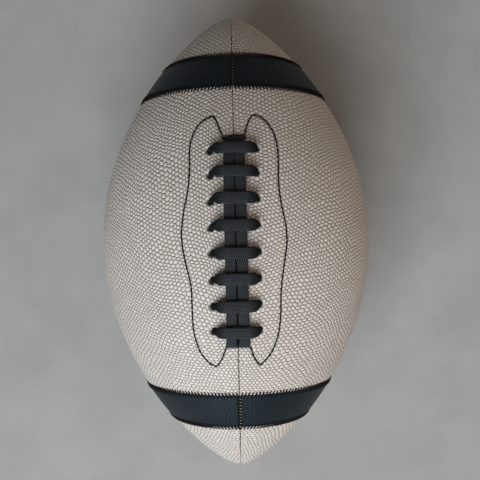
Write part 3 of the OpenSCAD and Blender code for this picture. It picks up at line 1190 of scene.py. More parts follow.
OUTLINES = {
    Side.LEFT: SewnOutline(
        Side.LEFT,
        ((6.6, 60.4), (8.8, 66.4), (11.2, 72.4)),
        (
            (11.2, 72.4), (16.6, 70.3), (21.6, 65.0), (25.1, 55.0), (25.4, 41.0), (26.6, 28.8),
            (29.2, 16.5), (30.6, 3.0), (28.8, -11.0), (25.9, -24.7), (25.7, -38.7), (25.2, -51.2),
            (22.4, -62.0), (18.2, -68.6), (12.8, -72.8),
        ),
        ((12.8, -72.8), (9.4, -67.2), (6.8, -60.2)),
    ),
    Side.RIGHT: SewnOutline(
        Side.RIGHT,
        ((6.4, 60.8), (8.0, 67.0), (10.8, 72.6)),
        (
            (10.8, 72.6), (15.6, 71.2), (20.0, 66.8), (23.8, 59.0), (25.0, 48.0), (24.7, 33.0),
            (25.8, 21.0), (28.2, 8.0), (28.5, -2.5), (26.4, -16.0), (24.7, -30.0), (24.4, -42.5),
            (22.8, -54.5), (18.4, -65.4), (12.4, -72.0),
        ),
        ((12.4, -72.0), (9.0, -67.0), (6.8, -60.2)),
    ),
}


# ---------------------------------------------------------------- lacing


@dataclass
class Lacing:
    """The one lace of the ball, along its whole route.

    The strays of the holes and the bows of the cross laces are in millimetres, from the far one
    to the near one.
    """

    bars: int = 8
    bar_pitch: float = 14.8 * MM
    hole_r: float = 2.1 * MM
    width: float = 6.2 * MM
    thickness: float = 2.4 * MM
    pinch_width: float = 3.1 * MM
    pinch_thickness: float = 2.9 * MM
    overrun: float = 7.4 * MM
    under_depth: float = 5.7 * MM
    gap: float = 0.5 * MM
    strand_gap: float = 0.3 * MM
    seat: float = 0.3 * MM
    sides: int = 28
    squareness: float = 4.2
    bar_squareness: float = 2.7
    bar_steps: int = 60
    bar_arch: float = 3.1
    bar_fullness: float = 0.8 * MM
    blunt_at: dict[Side, float] = field(
        default_factory=lambda: {Side.LEFT: 0.87, Side.RIGHT: 1.0}
    )
    blunt_over: float = 0.22
    blunt_power: float = 0.8
    crook_power: int = 7
    hidden_steps: int = 24
    hidden_arch: float = 6.0
    bend: float = 2.4 * MM
    bend_steps: int = 8
    long_steps: int = 149
    pressed_end: float = 5 * MM
    pressed_ease: float = 4 * MM
    pressed_lift: float = 0.16 * MM
    pressed_narrow: float = 0.14 * MM
    drift: float = 0.4 * MM
    tuck: float = 12.8 * MM
    slanted_end: float = 5 * MM
    slant_from: float = 0.5 * MM
    slants: dict[Side, float] = field(default_factory=lambda: {Side.LEFT: 0.3, Side.RIGHT: 0.08})
    # the painted shade and the rubbing of the lace's ends start this far beside the seam
    hole_shade_and_rub_from: float = 6.8 * MM
    hole_shade_and_rub_over: float = 5.2 * MM
    hole_shade_and_rub_power: float = 0.9
    hole_beside: dict[Side, float] = field(
        default_factory=lambda: {Side.LEFT: 13.8 * MM, Side.RIGHT: 12.4 * MM}
    )
    drawn_in: float = 0.55 * MM
    strays: dict[Side, tuple[float, ...]] = field(
        default_factory=lambda: {
            Side.LEFT: (-0.4, 0.2, 0.15, 0.55, 0.8, 0.4, 0.4, 1.0),
            Side.RIGHT: (0.4, 1.5, 1.6, 1.9, 1.5, 1.5, 1.6, 1.2),
        }
    )
    bows: tuple[float, ...] = (-0.45, 1.2, 1.3, 1.2, 0.8, 1.5, 1.25, 1.55)

    @property
    def half(self) -> float:
        """Distance from the middle of the ball to the last cross lace."""
        return self.bar_pitch * (self.bars - 1) / 2

    @property
    def end(self) -> float:
        """Distance from the middle of the ball to where a lengthwise lace goes in."""
        return self.half + self.overrun

    @property
    def strand_x(self) -> float:
        """Distance from the seam to the middle of a lengthwise lace."""
        return (self.width + self.strand_gap) / 2

    def bar_places(self) -> Array:
        """Places of the cross laces along the axis, from the far one to the near one."""
        return self.half - np.arange(self.bars) * self.bar_pitch

    def hole_places(self, side: Side) -> Array:
        """Places of one row's holes along the axis, which stray a little, as hand-laced ones do."""
        return self.bar_places() + np.array(self.strays[side]) * MM

    def arch(self, steps: int, power: float) -> tuple[Array, Array]:
        """A flattened arch.

        Args:
            steps: Steps from foot to foot.
            power: Its squareness.

        Returns:
            The share of the span and the share of the height at each step.
        """
        turn = np.pi * np.arange(steps + 1) / steps
        size = (np.abs(np.cos(turn)) ** power + np.abs(np.sin(turn)) ** power) ** (-1 / power)
        return (1 - size * np.cos(turn)) / 2, size * np.sin(turn)

    def cross_run(self, left: float, right: float, middle: float) -> Array:
        """A cross lace, from the left hole over the lengthwise laces to the right hole.

        Args:
            left: Place of its left hole along the axis.
            right: Place of its right hole.
            middle: Place of its middle.

        Returns:
            Stations of x, y, height, turn, width and thickness.
        """
        share, rise = self.arch(self.bar_steps, self.bar_arch)
        beside = 2 * share - 1
        top = self.seat + 1.5 * self.thickness + self.gap
        blunt = np.where(beside < 0, self.blunt_at[Side.LEFT], self.blunt_at[Side.RIGHT])
        near_end = np.clip((blunt - np.abs(beside)) / self.blunt_over, 0, 1)
        full = np.sin(np.pi / 2 * near_end) ** self.blunt_power
        end = np.where(beside < 0, left, right)
        from_left, from_right = self.ends()
        return np.stack(
            [
                from_left + (from_right - from_left) * share,
                middle + (end - middle) * np.abs(beside) ** self.crook_power,
                top * rise,
                np.full_like(share, np.pi / 2),
                self.pinch_width + (self.width + self.bar_fullness - self.pinch_width) * full,
                self.pinch_thickness + (self.thickness - self.pinch_thickness) * full,
            ],
            -1,
        )

    def ends(self) -> tuple[float, float]:
        """Where a cross lace goes in, left and right, drawn to the inner side of its holes."""
        left, right = (self.hole_beside[side] - self.drawn_in for side in (Side.LEFT, Side.RIGHT))
        return -left, right

    def hidden_run(self, a: tuple[float, ...], b: tuple[float, ...], last: float = 1.0) -> Array:
        """A run inside the cover.

        Args:
            a: Its start: x, y, turn, width and thickness.
            b: Its end.
            last: The share of it that is made, for a loose end.

        Returns:
            Stations of x, y, height, turn, width and thickness.
        """
        stop = int(self.hidden_steps * last)
        share, rise = (line[1:stop] for line in self.arch(self.hidden_steps, self.hidden_arch))
        x, y, turn, width, thick = (np.array(a) + (np.array(b) - np.array(a)) * share[:, None]).T
        thick = thick + (self.thickness - thick) * np.clip(rise, 0, 1) ** 2
        return np.stack([x, y, -self.under_depth * rise, turn, width, thick], -1)

    def long_run(self, x: float) -> Array:
        """A lengthwise lace, from where it comes out at the near end to the far end.

        Args:
            x: Its distance beside the seam.

        Returns:
            Stations of x, y, height, turn, width and thickness.
        """
        lift = self.seat + self.thickness / 2
        straight = self.end - self.bend
        turn = np.linspace(0, np.pi / 2, self.bend_steps + 1)
        near = np.stack([-straight - self.bend * np.cos(turn), lift * np.sin(turn)], -1)
        middle_y = np.linspace(-straight, straight, self.long_steps + 1)[1:-1]
        middle = np.stack([middle_y, np.full_like(middle_y, lift)], -1)
        far = np.stack([straight + self.bend * np.sin(turn), lift * np.cos(turn)], -1)
        y, height = np.vstack([near, middle, far]).T
        press = np.cos(2 * np.pi * (y - self.half) / self.bar_pitch)
        inside = np.clip((self.half + self.pressed_end - np.abs(y)) / self.pressed_ease, 0, 1)
        height = height + inside * self.pressed_lift * (1 - press) / 2
        width = self.width - inside * self.pressed_narrow * (1 + press) / 2
        drift = -self.drift * (y / self.end) ** 3 * math.copysign(1, x)
        thickness = np.full_like(y, self.thickness)
        return np.stack([x + drift, y, height, np.zeros_like(y), width, thickness], -1)

    def route(self) -> Array:
        """Lays the whole lace.

        Returns:
            Stations of x, y, height, turn, width and thickness.
        """
        x, end, tuck = self.strand_x, self.end, self.tuck
        middles = self.bar_places() + np.array(self.bows) * MM
        flat = (self.width, self.thickness)
        pinch = (self.pinch_width, self.pinch_thickness)
        runs = [
            self.hidden_run((-x, -end, 0, *flat), (-x, tuck - end, 0, *flat), 0.5)[::-1],
            self.long_run(-x),
        ]
        before = (-x, end, 0, *flat)
        holes = zip(self.hole_places(Side.LEFT), self.hole_places(Side.RIGHT), middles)
        for left, right, middle in holes:
            runs.append(self.hidden_run(before, (self.ends()[0], left, np.pi / 2, *pinch)))
            runs.append(self.cross_run(left, right, middle))
            before = (self.ends()[1], right, np.pi / 2, *pinch)
        runs.append(self.hidden_run(before, (x, -end, 0, *flat)))
        runs.append(self.long_run(x))
        runs.append(self.hidden_run((x, end, 0, *flat), (x, end - tuck, 0, *flat), 0.5))
        return np.vstack(runs)

    def section(self, side: Array, squareness: float | Array) -> tuple[Array, Array]:
        """Points round the lace's section, each share from -1 to 1.

        Args:
            side: The number of each point's side.
            squareness: How square the section is.

        Returns:
            The share of half the width, and of half the thickness.
        """
        spin = 2 * np.pi * side / self.sides
        power = 2 / squareness
        flat = np.sign(np.cos(spin)) * np.abs(np.cos(spin)) ** power
        return flat, np.sign(np.sin(spin)) * np.abs(np.sin(spin)) ** power

    def girth(self) -> Array:
        """Measures round the lace's section.

        Returns:
            The distance to each of its sides.
        """
        flat, deep = self.section(np.arange(self.sides + 1), self.squareness)
        flat, deep = self.width / 2 * flat, self.thickness / 2 * deep
        return np.concatenate([[0], np.cumsum(np.hypot(np.diff(flat), np.diff(deep)))])

    def build(self, finishes: Finishes) -> bpy.types.Object:
        """Models the lace and dresses it.

        Args:
            finishes: The ball's finishes.

        Returns:
            The lace.
        """
        route = self.route()
        x, y, height, turn, width, thickness = route.T
        angle = FORM.angle_beside_seam(x, y)
        centre = FORM.place(y, angle, height)
        lean = FORM.lean(y)
        along = np.stack(
            [-np.sin(lean) * np.sin(angle), np.cos(lean), -np.sin(lean) * np.cos(angle)], -1
        )
        across = np.stack([np.cos(angle), np.zeros_like(angle), -np.sin(angle)], -1)
        wide = np.cos(turn)[:, None] * across - np.sin(turn)[:, None] * along
        heading = np.gradient(centre, axis=0)
        heading /= np.linalg.norm(heading, axis=1, keepdims=True)
        wide -= (wide * heading).sum(1, keepdims=True) * heading
        wide /= np.linalg.norm(wide, axis=1, keepdims=True)
        thick = np.cross(heading, wide)
        lace, column, row = add_sheet("lace_laid", self.sides, len(route) - 1)
        crossing = turn[row] > 1
        flat, deep = self.section(column, np.where(crossing, self.bar_squareness, self.squareness))
        points = (
            centre[row]
            + (width[row] / 2 * flat)[:, None] * wide[row]
            + (thickness[row] / 2 * deep)[:, None] * thick[row]
        )
        far_end = np.clip((y[row] - self.end + self.slanted_end) / self.slanted_end, 0, 1)
        far_end = far_end * (np.abs(x[row]) < self.slanted_end)
        slant = np.where(x[row] < 0, self.slants[Side.LEFT], self.slants[Side.RIGHT])
        slant = slant * np.clip(np.abs(points[:, 0]) - self.slant_from, 0, None)
        points[:, 1] -= far_end * slant
        write_points(lace, points)
        steps = np.linalg.norm(np.diff(centre, axis=0), axis=1)
        length = np.concatenate([[0], np.cumsum(steps)])
        write_uv(lace, np.stack([self.girth()[column], length[row]], -1))
        # painted shade and rubbing: a mask that grows towards the lace's ends by the holes,
        # darkening them and making them duller
        hole_shade_and_rub = np.clip((np.abs(points[:, 0]) - self.hole_shade_and_rub_from) / self.hole_shade_and_rub_over, 0, 1)
        write_share(lace, HOLE_SHADE_AND_RUB, hole_shade_and_rub**self.hole_shade_and_rub_power)
        close_tube(lace)
        dress(lace, finishes.lace)
        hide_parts("lace")
        LOG.info("lace: %d stations, %.2f m long", len(route), length[-1])
        return lace


# ---------------------------------------------------------------- cover


@dataclass
class Cover:
    """The four panels of pebbled leather.

    The edge rows are in millimetres from a seam. The grain of a side is its turn and its scale
    across and along. The leather is stretched a little towards the far tip. A ruffle of a hole's
    rim is its size, its number of waves, and how far it is turned on from hole to hole.
    """

    lacing: Lacing
    roll: float = 1.1 * MM
    turn_in: float = 3.2 * MM
    seam_gap: float = 0.19 * MM
    slot: float = 0.6 * MM
    notch_half_w: float = 6.9 * MM
    notch_half_t: float = 1.5 * MM
    wall: float = 1.8 * MM
    rim_lean: float = 0.4
    valve_r: float = 4.15 * MM
    valve_angle: float = math.radians(135)
    edge_rows: tuple[float, ...] = (0, 0, 0.1, 0.25, 0.45, 0.7, 1.0, 1.3)
    edge_share: float = 0.11
    laced_columns: int = 132
    plain_columns: int = 104
    crowded_share: float = 0.17
    crowding: float = 1.9
    laced_half: float = 66 * MM
    row_pitches: tuple[float, float, float] = (0.62 * MM, 1.05 * MM, 1.2 * MM)
    slot_lap: float = 0.5 * MM
    slot_ease: float = 1.2 * MM
    full_turn_in_r: float = 8 * MM
    grain: dict[Side, tuple[float, float, float]] = field(
        default_factory=lambda: {
            Side.LEFT: (math.radians(80), 0.97, 1.1),
            Side.RIGHT: (math.radians(16), 1.0, 1.0),
        }
    )
    stretch: float = 0.1
    stretch_from: float = 45 * MM
    stretch_over: float = 14 * MM
    apart: tuple[float, float] = (0.7, 0.4)
    pucker: dict[Side, float] = field(
        default_factory=lambda: {Side.LEFT: 0.22 * MM, Side.RIGHT: 0.5 * MM}
    )
    ruffles: tuple[tuple[float, int, float], ...] = ((0.28, 5, 1.7), (0.18, 9, 1.0))
    outer_pucker: float = 0.6
    rim_crest: float = 0.9 * MM
    rim_width: float = 0.75 * MM
    rim_fall: float = 0.45 * MM
    rim_fall_width: float = 0.35 * MM
    strain_width: float = 0.95 * MM
    rim_snap: float = 0.32 * MM
    pressed: float = 0.42 * MM
    pressed_width: float = 0.75 * MM
    swell: float = 0.16 * MM
    swell_crest: float = 2.2 * MM
    swell_width: float = 1.3 * MM
    sewn_half_x: float = 38 * MM
    sewn_half_y: float = 78 * MM
    valve_snap: float = 0.62 * MM
    valve_fall: float = 0.35 * MM
    valve_fall_width: float = 0.7 * MM
    valve_reach: float = 20 * MM

    def across(self, laced: bool) -> Array:
        """Shares of a panel's width, closer together beside the lacing.

        Args:
            laced: Whether the panel has lace holes.

        Returns:
            The shares, from 0 to 1.
        """
        count = self.laced_columns if laced else self.plain_columns
        share = np.linspace(0, 1, 2001)
        weight = np.where(laced & (share < self.crowded_share), self.crowding, 1.0)
        total = np.concatenate([[0], np.cumsum(weight[1:])])
        return np.interp(np.linspace(0, total[-1], count + 1), total, share)

    def row_pitch(self, y: Array, laced: bool) -> Array:
        """Spacing of a panel's rows, closer together along the lacing.

        Args:
            y: Places along the axis.
            laced: Whether the panel has lace holes.

        Returns:
            The spacing at each place.
        """
        fine, coarse, plain = self.row_pitches
        beside = np.abs(y) < self.laced_half
        return np.where(beside, fine, coarse) if laced else np.full_like(y, plain)

    def seam_relief(self, distance: Array, reach: Array) -> Array:
        """Depth of the rolled edge at a distance from a seam."""
        inside = np.clip(reach - distance, 0, reach)
        return reach - np.sqrt(np.clip(reach**2 - inside**2, 0, None))

    def lace_relief(self, x: Array, y: Array, side: Side) -> Array:
        """Height of the puckered hole rims and of the line pressed in by the topstitching.

        Args:
            x: Distances beside the seam, over the surface.
            y: Places along the axis.
            side: The panel's side.

        Returns:
            The height at each place.
        """
        height = np.zeros_like(x)
        for number, place in enumerate(self.lacing.hole_places(side)):
            dx, dy = self.hole_offsets(x, y, place, side)
            far = np.hypot(dx, dy)
            turn = np.arctan2(dy, dx)
            ruffle = 1 + sum(
                size * np.cos(waves * turn + start * number) for size, waves, start in self.ruffles
            )
            lift = self.pucker[side] * ruffle * (1 + self.outer_pucker * np.cos(turn))
            past = far - self.lacing.hole_r
            height += lift * ridge(past, self.rim_crest, self.rim_width)
            height -= self.rim_fall * ridge(past, 0, self.rim_fall_width)
        near = (x < self.sewn_half_x) & (np.abs(y) < self.sewn_half_y)
        path = OUTLINES[side].path(0.8 * MM)
        path_x = np.abs(path[:, 0])
        gap = np.full_like(x, 1.0)
        plan_x = FORM.radius(y[near]) * np.sin(x[near] / FORM.radius(y[near]))
        gap[near] = np.hypot(plan_x[:, None] - path_x, y[near][:, None] - path[:, 1]).min(1)
        height -= self.pressed * ridge(gap, 0, self.pressed_width)
        height += self.swell * ridge(gap, self.swell_crest, self.swell_width)
        return height

    def strain(self, x: Array, y: Array, side: Side) -> Array:
        """How tightly the lace pulls the leather round its holes, from 0 to 1.

        Args:
            x: Distances beside the seam, over the surface.
            y: Places along the axis.
            side: The panel's side.

        Returns:
            The strain at each place.
        """
        pull = np.zeros_like(x)
        for place in self.lacing.hole_places(side):
            dx, dy = self.hole_offsets(x, y, place, side)
            past = np.clip(np.hypot(dx, dy) - self.lacing.hole_r, 0, None)
            outer = 0.5 + 0.5 * np.cos(np.arctan2(dy, dx))
            pull = np.maximum(pull, outer * ridge(past, 0, self.strain_width))
        return pull

    def hole_offsets(self, x: Array, y: Array, place: float, side: Side) -> tuple[Array, Array]:
        """Measures from a lace hole, over the surface.

        Args:
            x: Distances beside the seam, over the surface.
            y: Places along the axis.
            place: The hole's place along the axis.
            side: The panel's side.

        Returns:
            The distances across and along.
        """
        r = float(FORM.radius(np.array(place)))
        middle = r * math.asin(self.lacing.hole_beside[side] / r)
        return x - middle, (y - place) / math.cos(float(FORM.lean(np.array(place))))

    def snap_rims(self, x: Array, y: Array, side: Side) -> tuple[Array, Array]:
        """Moves the vertices that lie close to a hole's rim onto it.

        Args:
            x: Distances beside the seam, over the surface.
            y: Places along the axis.
            side: The panel's side.

        Returns:
            The same, with true circles at the rims.
        """
        x, y = x.copy(), y.copy()
        for place in self.lacing.hole_places(side):
            dx, dy = self.hole_offsets(x, y, place, side)
            far = np.hypot(dx, dy)
            close = np.abs(far - self.lacing.hole_r) < self.rim_snap
            grow = self.lacing.hole_r / far[close] - 1
            x[close] += dx[close] * grow
            y[close] += dy[close] * grow * math.cos(float(FORM.lean(np.array(place))))
        return x, y

    def lay_plan(self, side: Side, half: Half, y: Array, angle: Array) -> Array:
        """Lays a panel out on the hide that it was cut from.

        Args:
            side: Its side of the ball.
            half: Its half of the ball.
            y: Each vertex's place along the axis.
            angle: Each vertex's angle from the nearer of the top and bottom seams.

        Returns:
            Each vertex's place on the hide, in metres.
        """
        plan = FORM.flatten(y, angle)
        ease = np.logaddexp(0, (y - self.stretch_from) / self.stretch_over)
        plan[:, 1] -= self.stretch * ease * self.stretch_over
        turn, *scale = self.grain[side]
        spin = np.array([[math.cos(turn), -math.sin(turn)], [math.sin(turn), math.cos(turn)]])
        return np.array(self.apart) * (side.value, half.value) + plan * scale @ spin

    def build_panel(self, side: Side, half: Half, finishes: Finishes) -> bpy.types.Object:
        """Models one panel.

        Args:
            side: Its side of the ball.
            half: Its half of the ball.
            finishes: The ball's finishes.

        Returns:
            The panel.
        """
        laced = half is Half.TOP
        places = FORM.tip_to_tip(lambda y: self.row_pitch(y, laced))
        edge = np.array(self.edge_rows) * MM
        middle = self.across(laced)
        columns = len(edge) * 2 + len(middle) - 2
        name = f"cover_{half.name}_{side.name}".lower()
        panel, column, row = add_sheet(name, columns - 1, len(places) - 1)
        y = places[row]
        r = FORM.radius(y)
        span = r * np.pi / 2
        reach = np.minimum(edge[-1], self.edge_share * r)
        before_end = self.lacing.end + self.slot_lap - np.abs(y)
        slot = self.slot * np.clip(before_end / self.slot_ease, 0, 1) if laced else 0 * y
        number = np.minimum(column, columns - 1 - column)
        from_seam = column <= columns // 2
        in_edge = number < len(edge)
        scaled = edge[np.minimum(number, len(edge) - 1)] / edge[-1] * reach
        start, stop = reach + slot, span - reach
        inner = np.clip(column - len(edge) + 1, 0, len(middle) - 1)
        inner = start + (stop - start) * middle[inner]
        x = np.where(in_edge, np.where(from_seam, scaled + slot, span - scaled), inner)
        roll = self.roll * reach / edge[-1]
        deep = self.seam_relief(np.maximum(x - slot, 0), roll)
        deep = deep + self.seam_relief(np.maximum(span - x, 0), roll)
        turn_in = self.turn_in * np.minimum(1, r / self.full_turn_in_r)
        height = -np.where(number == 0, turn_in, deep)
        if laced:
            x, y = self.snap_rims(x, y, side)
            height = height + np.where(number == 0, 0, self.lace_relief(x, y, side))
        angle = x / FORM.radius(y)
        gap = self.seam_gap / FORM.radius(y)
        shown = np.clip(angle, gap, np.pi / 2 - gap)
        points = FORM.place(y, side.value * (shown if laced else np.pi - shown), height)
        points[:, 2] = np.maximum(points[:, 2], 0)
        tips = (row == 0) | (row == len(places) - 1)
        points[tips, 0], points[tips, 2] = 0.0, FORM.axis_height
        write_points(panel, points)
        write_uv(panel, self.lay_plan(side, half, y, angle))
        face_outwards(panel)
        if laced:
            write_share(panel, STRAIN, self.strain(x, y, side))
            self.open_lacing(panel, x, y, side)
        if side is Side.RIGHT and half is Half.BOTTOM:
            self.open_valve(panel)
        self.close_tips(panel)
        dress(panel, finishes.leather)
        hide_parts(f"panel_{half.name}_{side.name}".lower())
        LOG.info("%s: %d faces", name, len(panel.data.polygons))
        return panel

    def open_lacing(self, panel: bpy.types.Object, x: Array, y: Array, side: Side) -> None:
        """Cuts the lace holes and the notches, and turns their rims in.

        Args:
            panel: The panel.
            x: Each vertex's distance beside the seam.
            y: Each vertex's place along the axis.
            side: The panel's side.
        """

        def inside(vertices: list[int]) -> bool:
            """Tells whether a face lies in an opening.

            Args:
                vertices: The numbers of its vertices.

            Returns:
                Whether it does.
            """
            fx, fy = float(x[vertices].mean()), float(y[vertices].mean())
            if abs(abs(fy) - self.lacing.end) < self.notch_half_t and fx < self.notch_half_w:
                return True
            return any(
                math.hypot(*self.hole_offsets(fx, fy, place, side)) < self.lacing.hole_r
                for place in self.lacing.hole_places(side)
                if abs(fy - place) < 2 * self.lacing.hole_r
            )

        self.cut_and_turn_in(panel, inside)

    def open_valve(self, panel: bpy.types.Object) -> None:
        """Cuts the hole for the valve's stem.

        Args:
            panel: The panel that carries the valve.
        """
        points = read_points(panel)
        axis = np.array([math.sin(self.valve_angle), 0, math.cos(self.valve_angle)])
        seat = np.array([0, 0, FORM.axis_height]) + axis * FORM.belly_r
        away = points - seat
        off = away - (away @ axis)[:, None] * axis
        far = np.linalg.norm(off, axis=1)
        front = (away @ axis) > -self.valve_reach
        close = front & (np.abs(far - self.valve_r) < self.valve_snap)
        points[close] += off[close] * (self.valve_r / far[close] - 1)[:, None]
        far[close] = self.valve_r
        ring = ridge(far, self.valve_r, self.valve_fall_width) * front
        points -= axis * (self.valve_fall * ring)[:, None]
        write_points(panel, points)

        def inside(vertices: list[int]) -> bool:
            """Tells whether a face lies in the hole.

            Args:
                vertices: The numbers of its vertices.

            Returns:
                Whether it does.
            """
            middle = points[vertices].mean(0) - seat
            depth = float(middle @ axis)
            beside = float(np.linalg.norm(middle - depth * axis))
            return depth > -self.valve_reach and beside < self.valve_r - 0.05 * MM

        self.cut_and_turn_in(panel, inside)

    def close_tips(self, panel: bpy.types.Object) -> None:
        """Merges the vertices that meet at each tip, so that the panels close there.

        Args:
            panel: The panel.
        """
        make_active(panel)
        bpy.ops.object.mode_set(mode="EDIT")
        bpy.ops.mesh.select_all(action="SELECT")
        bpy.ops.mesh.remove_doubles(threshold=WELD)
        bpy.ops.object.mode_set(mode="OBJECT")

    def cut_and_turn_in(self, panel: bpy.types.Object, inside: Callable[[list[int]], bool]) -> None:
        """Deletes the faces in an opening and extrudes the new rims into the ball.

        Args:
            panel: The panel.
            inside: Tells whether a face, given by its vertices, lies in an opening.
        """
        make_active(panel)
        bpy.ops.object.mode_set(mode="EDIT")
        bpy.ops.mesh.select_mode(type="FACE")
        bpy.ops.mesh.select_all(action="DESELECT")
        work = bmesh.from_edit_mesh(panel.data)
        old_rim = {vertex.co.copy().freeze() for vertex in work.verts if vertex.is_boundary}
        for face in work.faces:
            face.select_set(inside([vertex.index for vertex in face.verts]))
        bmesh.update_edit_mesh(panel.data)
        bpy.ops.mesh.delete(type="FACE")
        bpy.ops.mesh.select_mode(type="EDGE")
        bpy.ops.mesh.select_all(action="DESELECT")
        work = bmesh.from_edit_mesh(panel.data)
        for edge in work.edges:
            new = any(vertex.co.copy().freeze() not in old_rim for vertex in edge.verts)
            edge.select_set(edge.is_boundary and new)
        bmesh.update_edit_mesh(panel.data)
        bpy.ops.mesh.extrude_region_move()
        work = bmesh.from_edit_mesh(panel.data)
        middle = Vector((0, 0, FORM.axis_height))
        for vertex in (v for v in work.verts if v.select):
            out = vertex.co - middle
            out.y *= self.rim_lean
            vertex.co -= out.normalized() * self.wall
        bmesh.update_edit_mesh(panel.data)
        bpy.ops.object.mode_set(mode="OBJECT")

    def build(self, finishes: Finishes) -> None:
        """Models and dresses the four panels.

        Args:
            finishes: The ball's finishes.
        """
        for half in Half:
            for side in Side:
                self.build_panel(side, half, finishes)


# ---------------------------------------------------------------- stripes


@dataclass(frozen=True)
class SeamStitch:
    """One kind of stitch over the seam between two stripes.

    The lag is how far a stitch lies behind a dark one, and the aside is how far its middle lies
    beside the seam.
    """

    kind: str
    lag: float
    reach: float
    aside: float
    sink: float
    thread_r: float


@dataclass
class Stripes:
    """The four stripes, the slanted stitches on their edges and those over the seam.

    The lip rows are in millimetres from an edge.
    """

    start: float = 90.5 * MM
    width: float = 21.6 * MM
    near_bow_r: float = 1900 * MM
    far_bow_r: float = 400 * MM
    thickness: float = 0.6 * MM
    edge: float = 1.0 * MM
    seam_gap: float = 0.35 * MM
    pitch: float = 2.08 * MM
    reach_out: float = 2.3 * MM
    reach_in: float = 2.1 * MM
    slant: float = 1.5 * MM
    thread_r: float = 0.48 * MM
    lip_rows: tuple[float, ...] = (0, 0, 0.1, 0.25, 0.45, 0.7, 1.0)
    inner_rows: int = 34
    inner_columns: int = 96
    lift: float = 0.02 * MM
    pressed: float = 0.14 * MM
    pressed_crest: float = 1.3 * MM
    pressed_width: float = 0.7 * MM
    skirt: float = 0.3 * MM
    turned_in: float = 0.4
    apart: tuple[float, float] = (1.3, 1.1)
    seam_pitch: float = 2.06 * MM
    seam_slant: float = 0.3 * MM
    seam_stitches: tuple[SeamStitch, ...] = (
        SeamStitch("dark", 0, 1.25 * MM, 0, 0.25 * MM, 0.6 * MM),
        # painted highlight: pale stitches between the dark ones
        SeamStitch("pale", 1.03 * MM, 0.4 * MM, 0.4 * MM, 0.42 * MM, 0.3 * MM),
    )

    def edges(self, angle: Array) -> tuple[Array, Array]:
        """Finds the two edges of a stripe.

        Args:
            angle: Angles from the top seam.

        Returns:
            The place along the axis of the nearer and of the farther edge, at each angle.
        """
        ends = []
        lines = ((self.start, self.near_bow_r), (self.start + self.width, self.far_bow_r))
        for place, bow_r in lines:
            beside = FORM.radius(np.array(place)) * np.sin(angle)
            ends.append(place - beside**2 / (2 * bow_r))
        return ends[0], ends[1]

    def run(self, number: Array, count: int, length: Array) -> tuple[Array, Array]:
        """Spaces the lines of a stripe's faces, closer together at its edges.

        Args:
            number: The number of each vertex's line.
            count: How many lines there are.
            length: The length that they divide.

        Returns:
            Each vertex's distance from the first edge, and from the nearer edge.
        """
        lip = np.array(self.lip_rows) * MM
        back = count - 1 - number
        low = np.minimum(number, back)
        near = lip[np.minimum(low, len(lip) - 1)]
        share = (number - len(lip) + 1) / (count - 2 * len(lip) + 1)
        inner = lip[-1] + (length - 2 * lip[-1]) * share
        far = np.where(low < len(lip), np.where(number <= back, near, length - near), inner)
        return far, np.minimum(far, length - far)

    def build_band(
        self, side: Side, end: End, cover: Cover, finishes: Finishes
    ) -> bpy.types.Object:
        """Models one stripe.

        Args:
            side: Its side of the ball.
            end: The end that it crosses.
            cover: The cover that it lies on.
            finishes: The ball's finishes.

        Returns:
            The stripe.
        """
        rows = self.inner_rows + 2 * len(self.lip_rows)
        columns = self.inner_columns + 2 * len(self.lip_rows)
        name = f"band_{end.name}_{side.name}".lower()
        band, column, row = add_sheet(name, columns - 1, rows - 1)
        r = FORM.radius(np.array(self.start + self.width / 2))
        span = r * np.pi / 2 - self.seam_gap - 0.05 * MM
        across, from_seam = self.run(column, columns, span)
        angle = (across + self.seam_gap) / r
        first, last = self.edges(angle)
        along, from_edge = self.run(row, rows, last - first)
        y = end.value * (first + along)
        low = np.clip(from_edge / self.edge, 0, 1)
        height = self.lift + self.thickness * np.sqrt(np.clip(1 - (1 - low) ** 2, 0, 1))
        height = height - self.pressed * ridge(from_edge, self.pressed_crest, self.pressed_width)
        height = height - cover.seam_relief(from_seam, np.full_like(from_seam, cover.roll))
        skirt = (row == 0) | (row == rows - 1)
        height = np.where(skirt, -self.skirt, height)
        side_edge = (column == 0) | (column == columns - 1)
        height = np.where(side_edge, -cover.turn_in * self.turned_in, height)
        write_points(band, FORM.place(y, side.value * angle, height))
        write_uv(band, np.array(self.apart) * (side.value, 1) + FORM.flatten(y, angle))
        face_outwards(band)
        dress(band, finishes.stripe)
        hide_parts(f"stripe_{end.name}_{side.name}".lower())
        return band

    def build_edging(self, side: Side, end: End, finishes: Finishes) -> bpy.types.Object:
        """Sews a stripe down with slanted stitches over both edges.

        Args:
            side: The stripe's side of the ball.
            end: The end that it crosses.
            finishes: The ball's finishes.

        Returns:
            The stitching.
        """
        starts, ends, outs = [], [], []
        for far_edge in (False, True):
            angle = np.linspace(0.02, np.pi / 2 - 0.02, 400)
            edge = self.edges(angle)[int(far_edge)]
            length = float((FORM.radius(edge)[:-1] * np.diff(angle)).sum())
            angle = np.linspace(angle[0], angle[-1], int(round(length / self.pitch)) + 1)
            edge = self.edges(angle)[int(far_edge)]
            out, inwards = self.reach_out, self.reach_in
            ways = (-inwards, out) if far_edge else (-out, inwards)
            shift = self.slant / 2 / FORM.radius(edge)
            for way, turn, group in zip(ways, (shift, -shift), (starts, ends)):
                y = edge + way * np.cos(FORM.lean(edge))
                on_band = (way < 0) if far_edge else (way > 0)
                height = np.full_like(y, self.thickness + self.lift if on_band else 0.1 * MM)
                lie = np.clip(angle + turn, 0.006, np.pi / 2)
                group.append(FORM.place(end.value * y, side.value * lie, height))
            outs.append(FORM.normal(end.value * edge, side.value * angle))
        starts, ends, outs = (np.vstack(group) for group in (starts, ends, outs))
        frames = stitch_frames(starts, ends, outs, self.thread_r)
        piece = repeat_piece(f"edging_{end.name}_{side.name}".lower(), add_stitch(0.35), frames)
        dress(piece, finishes.thread)
        return piece

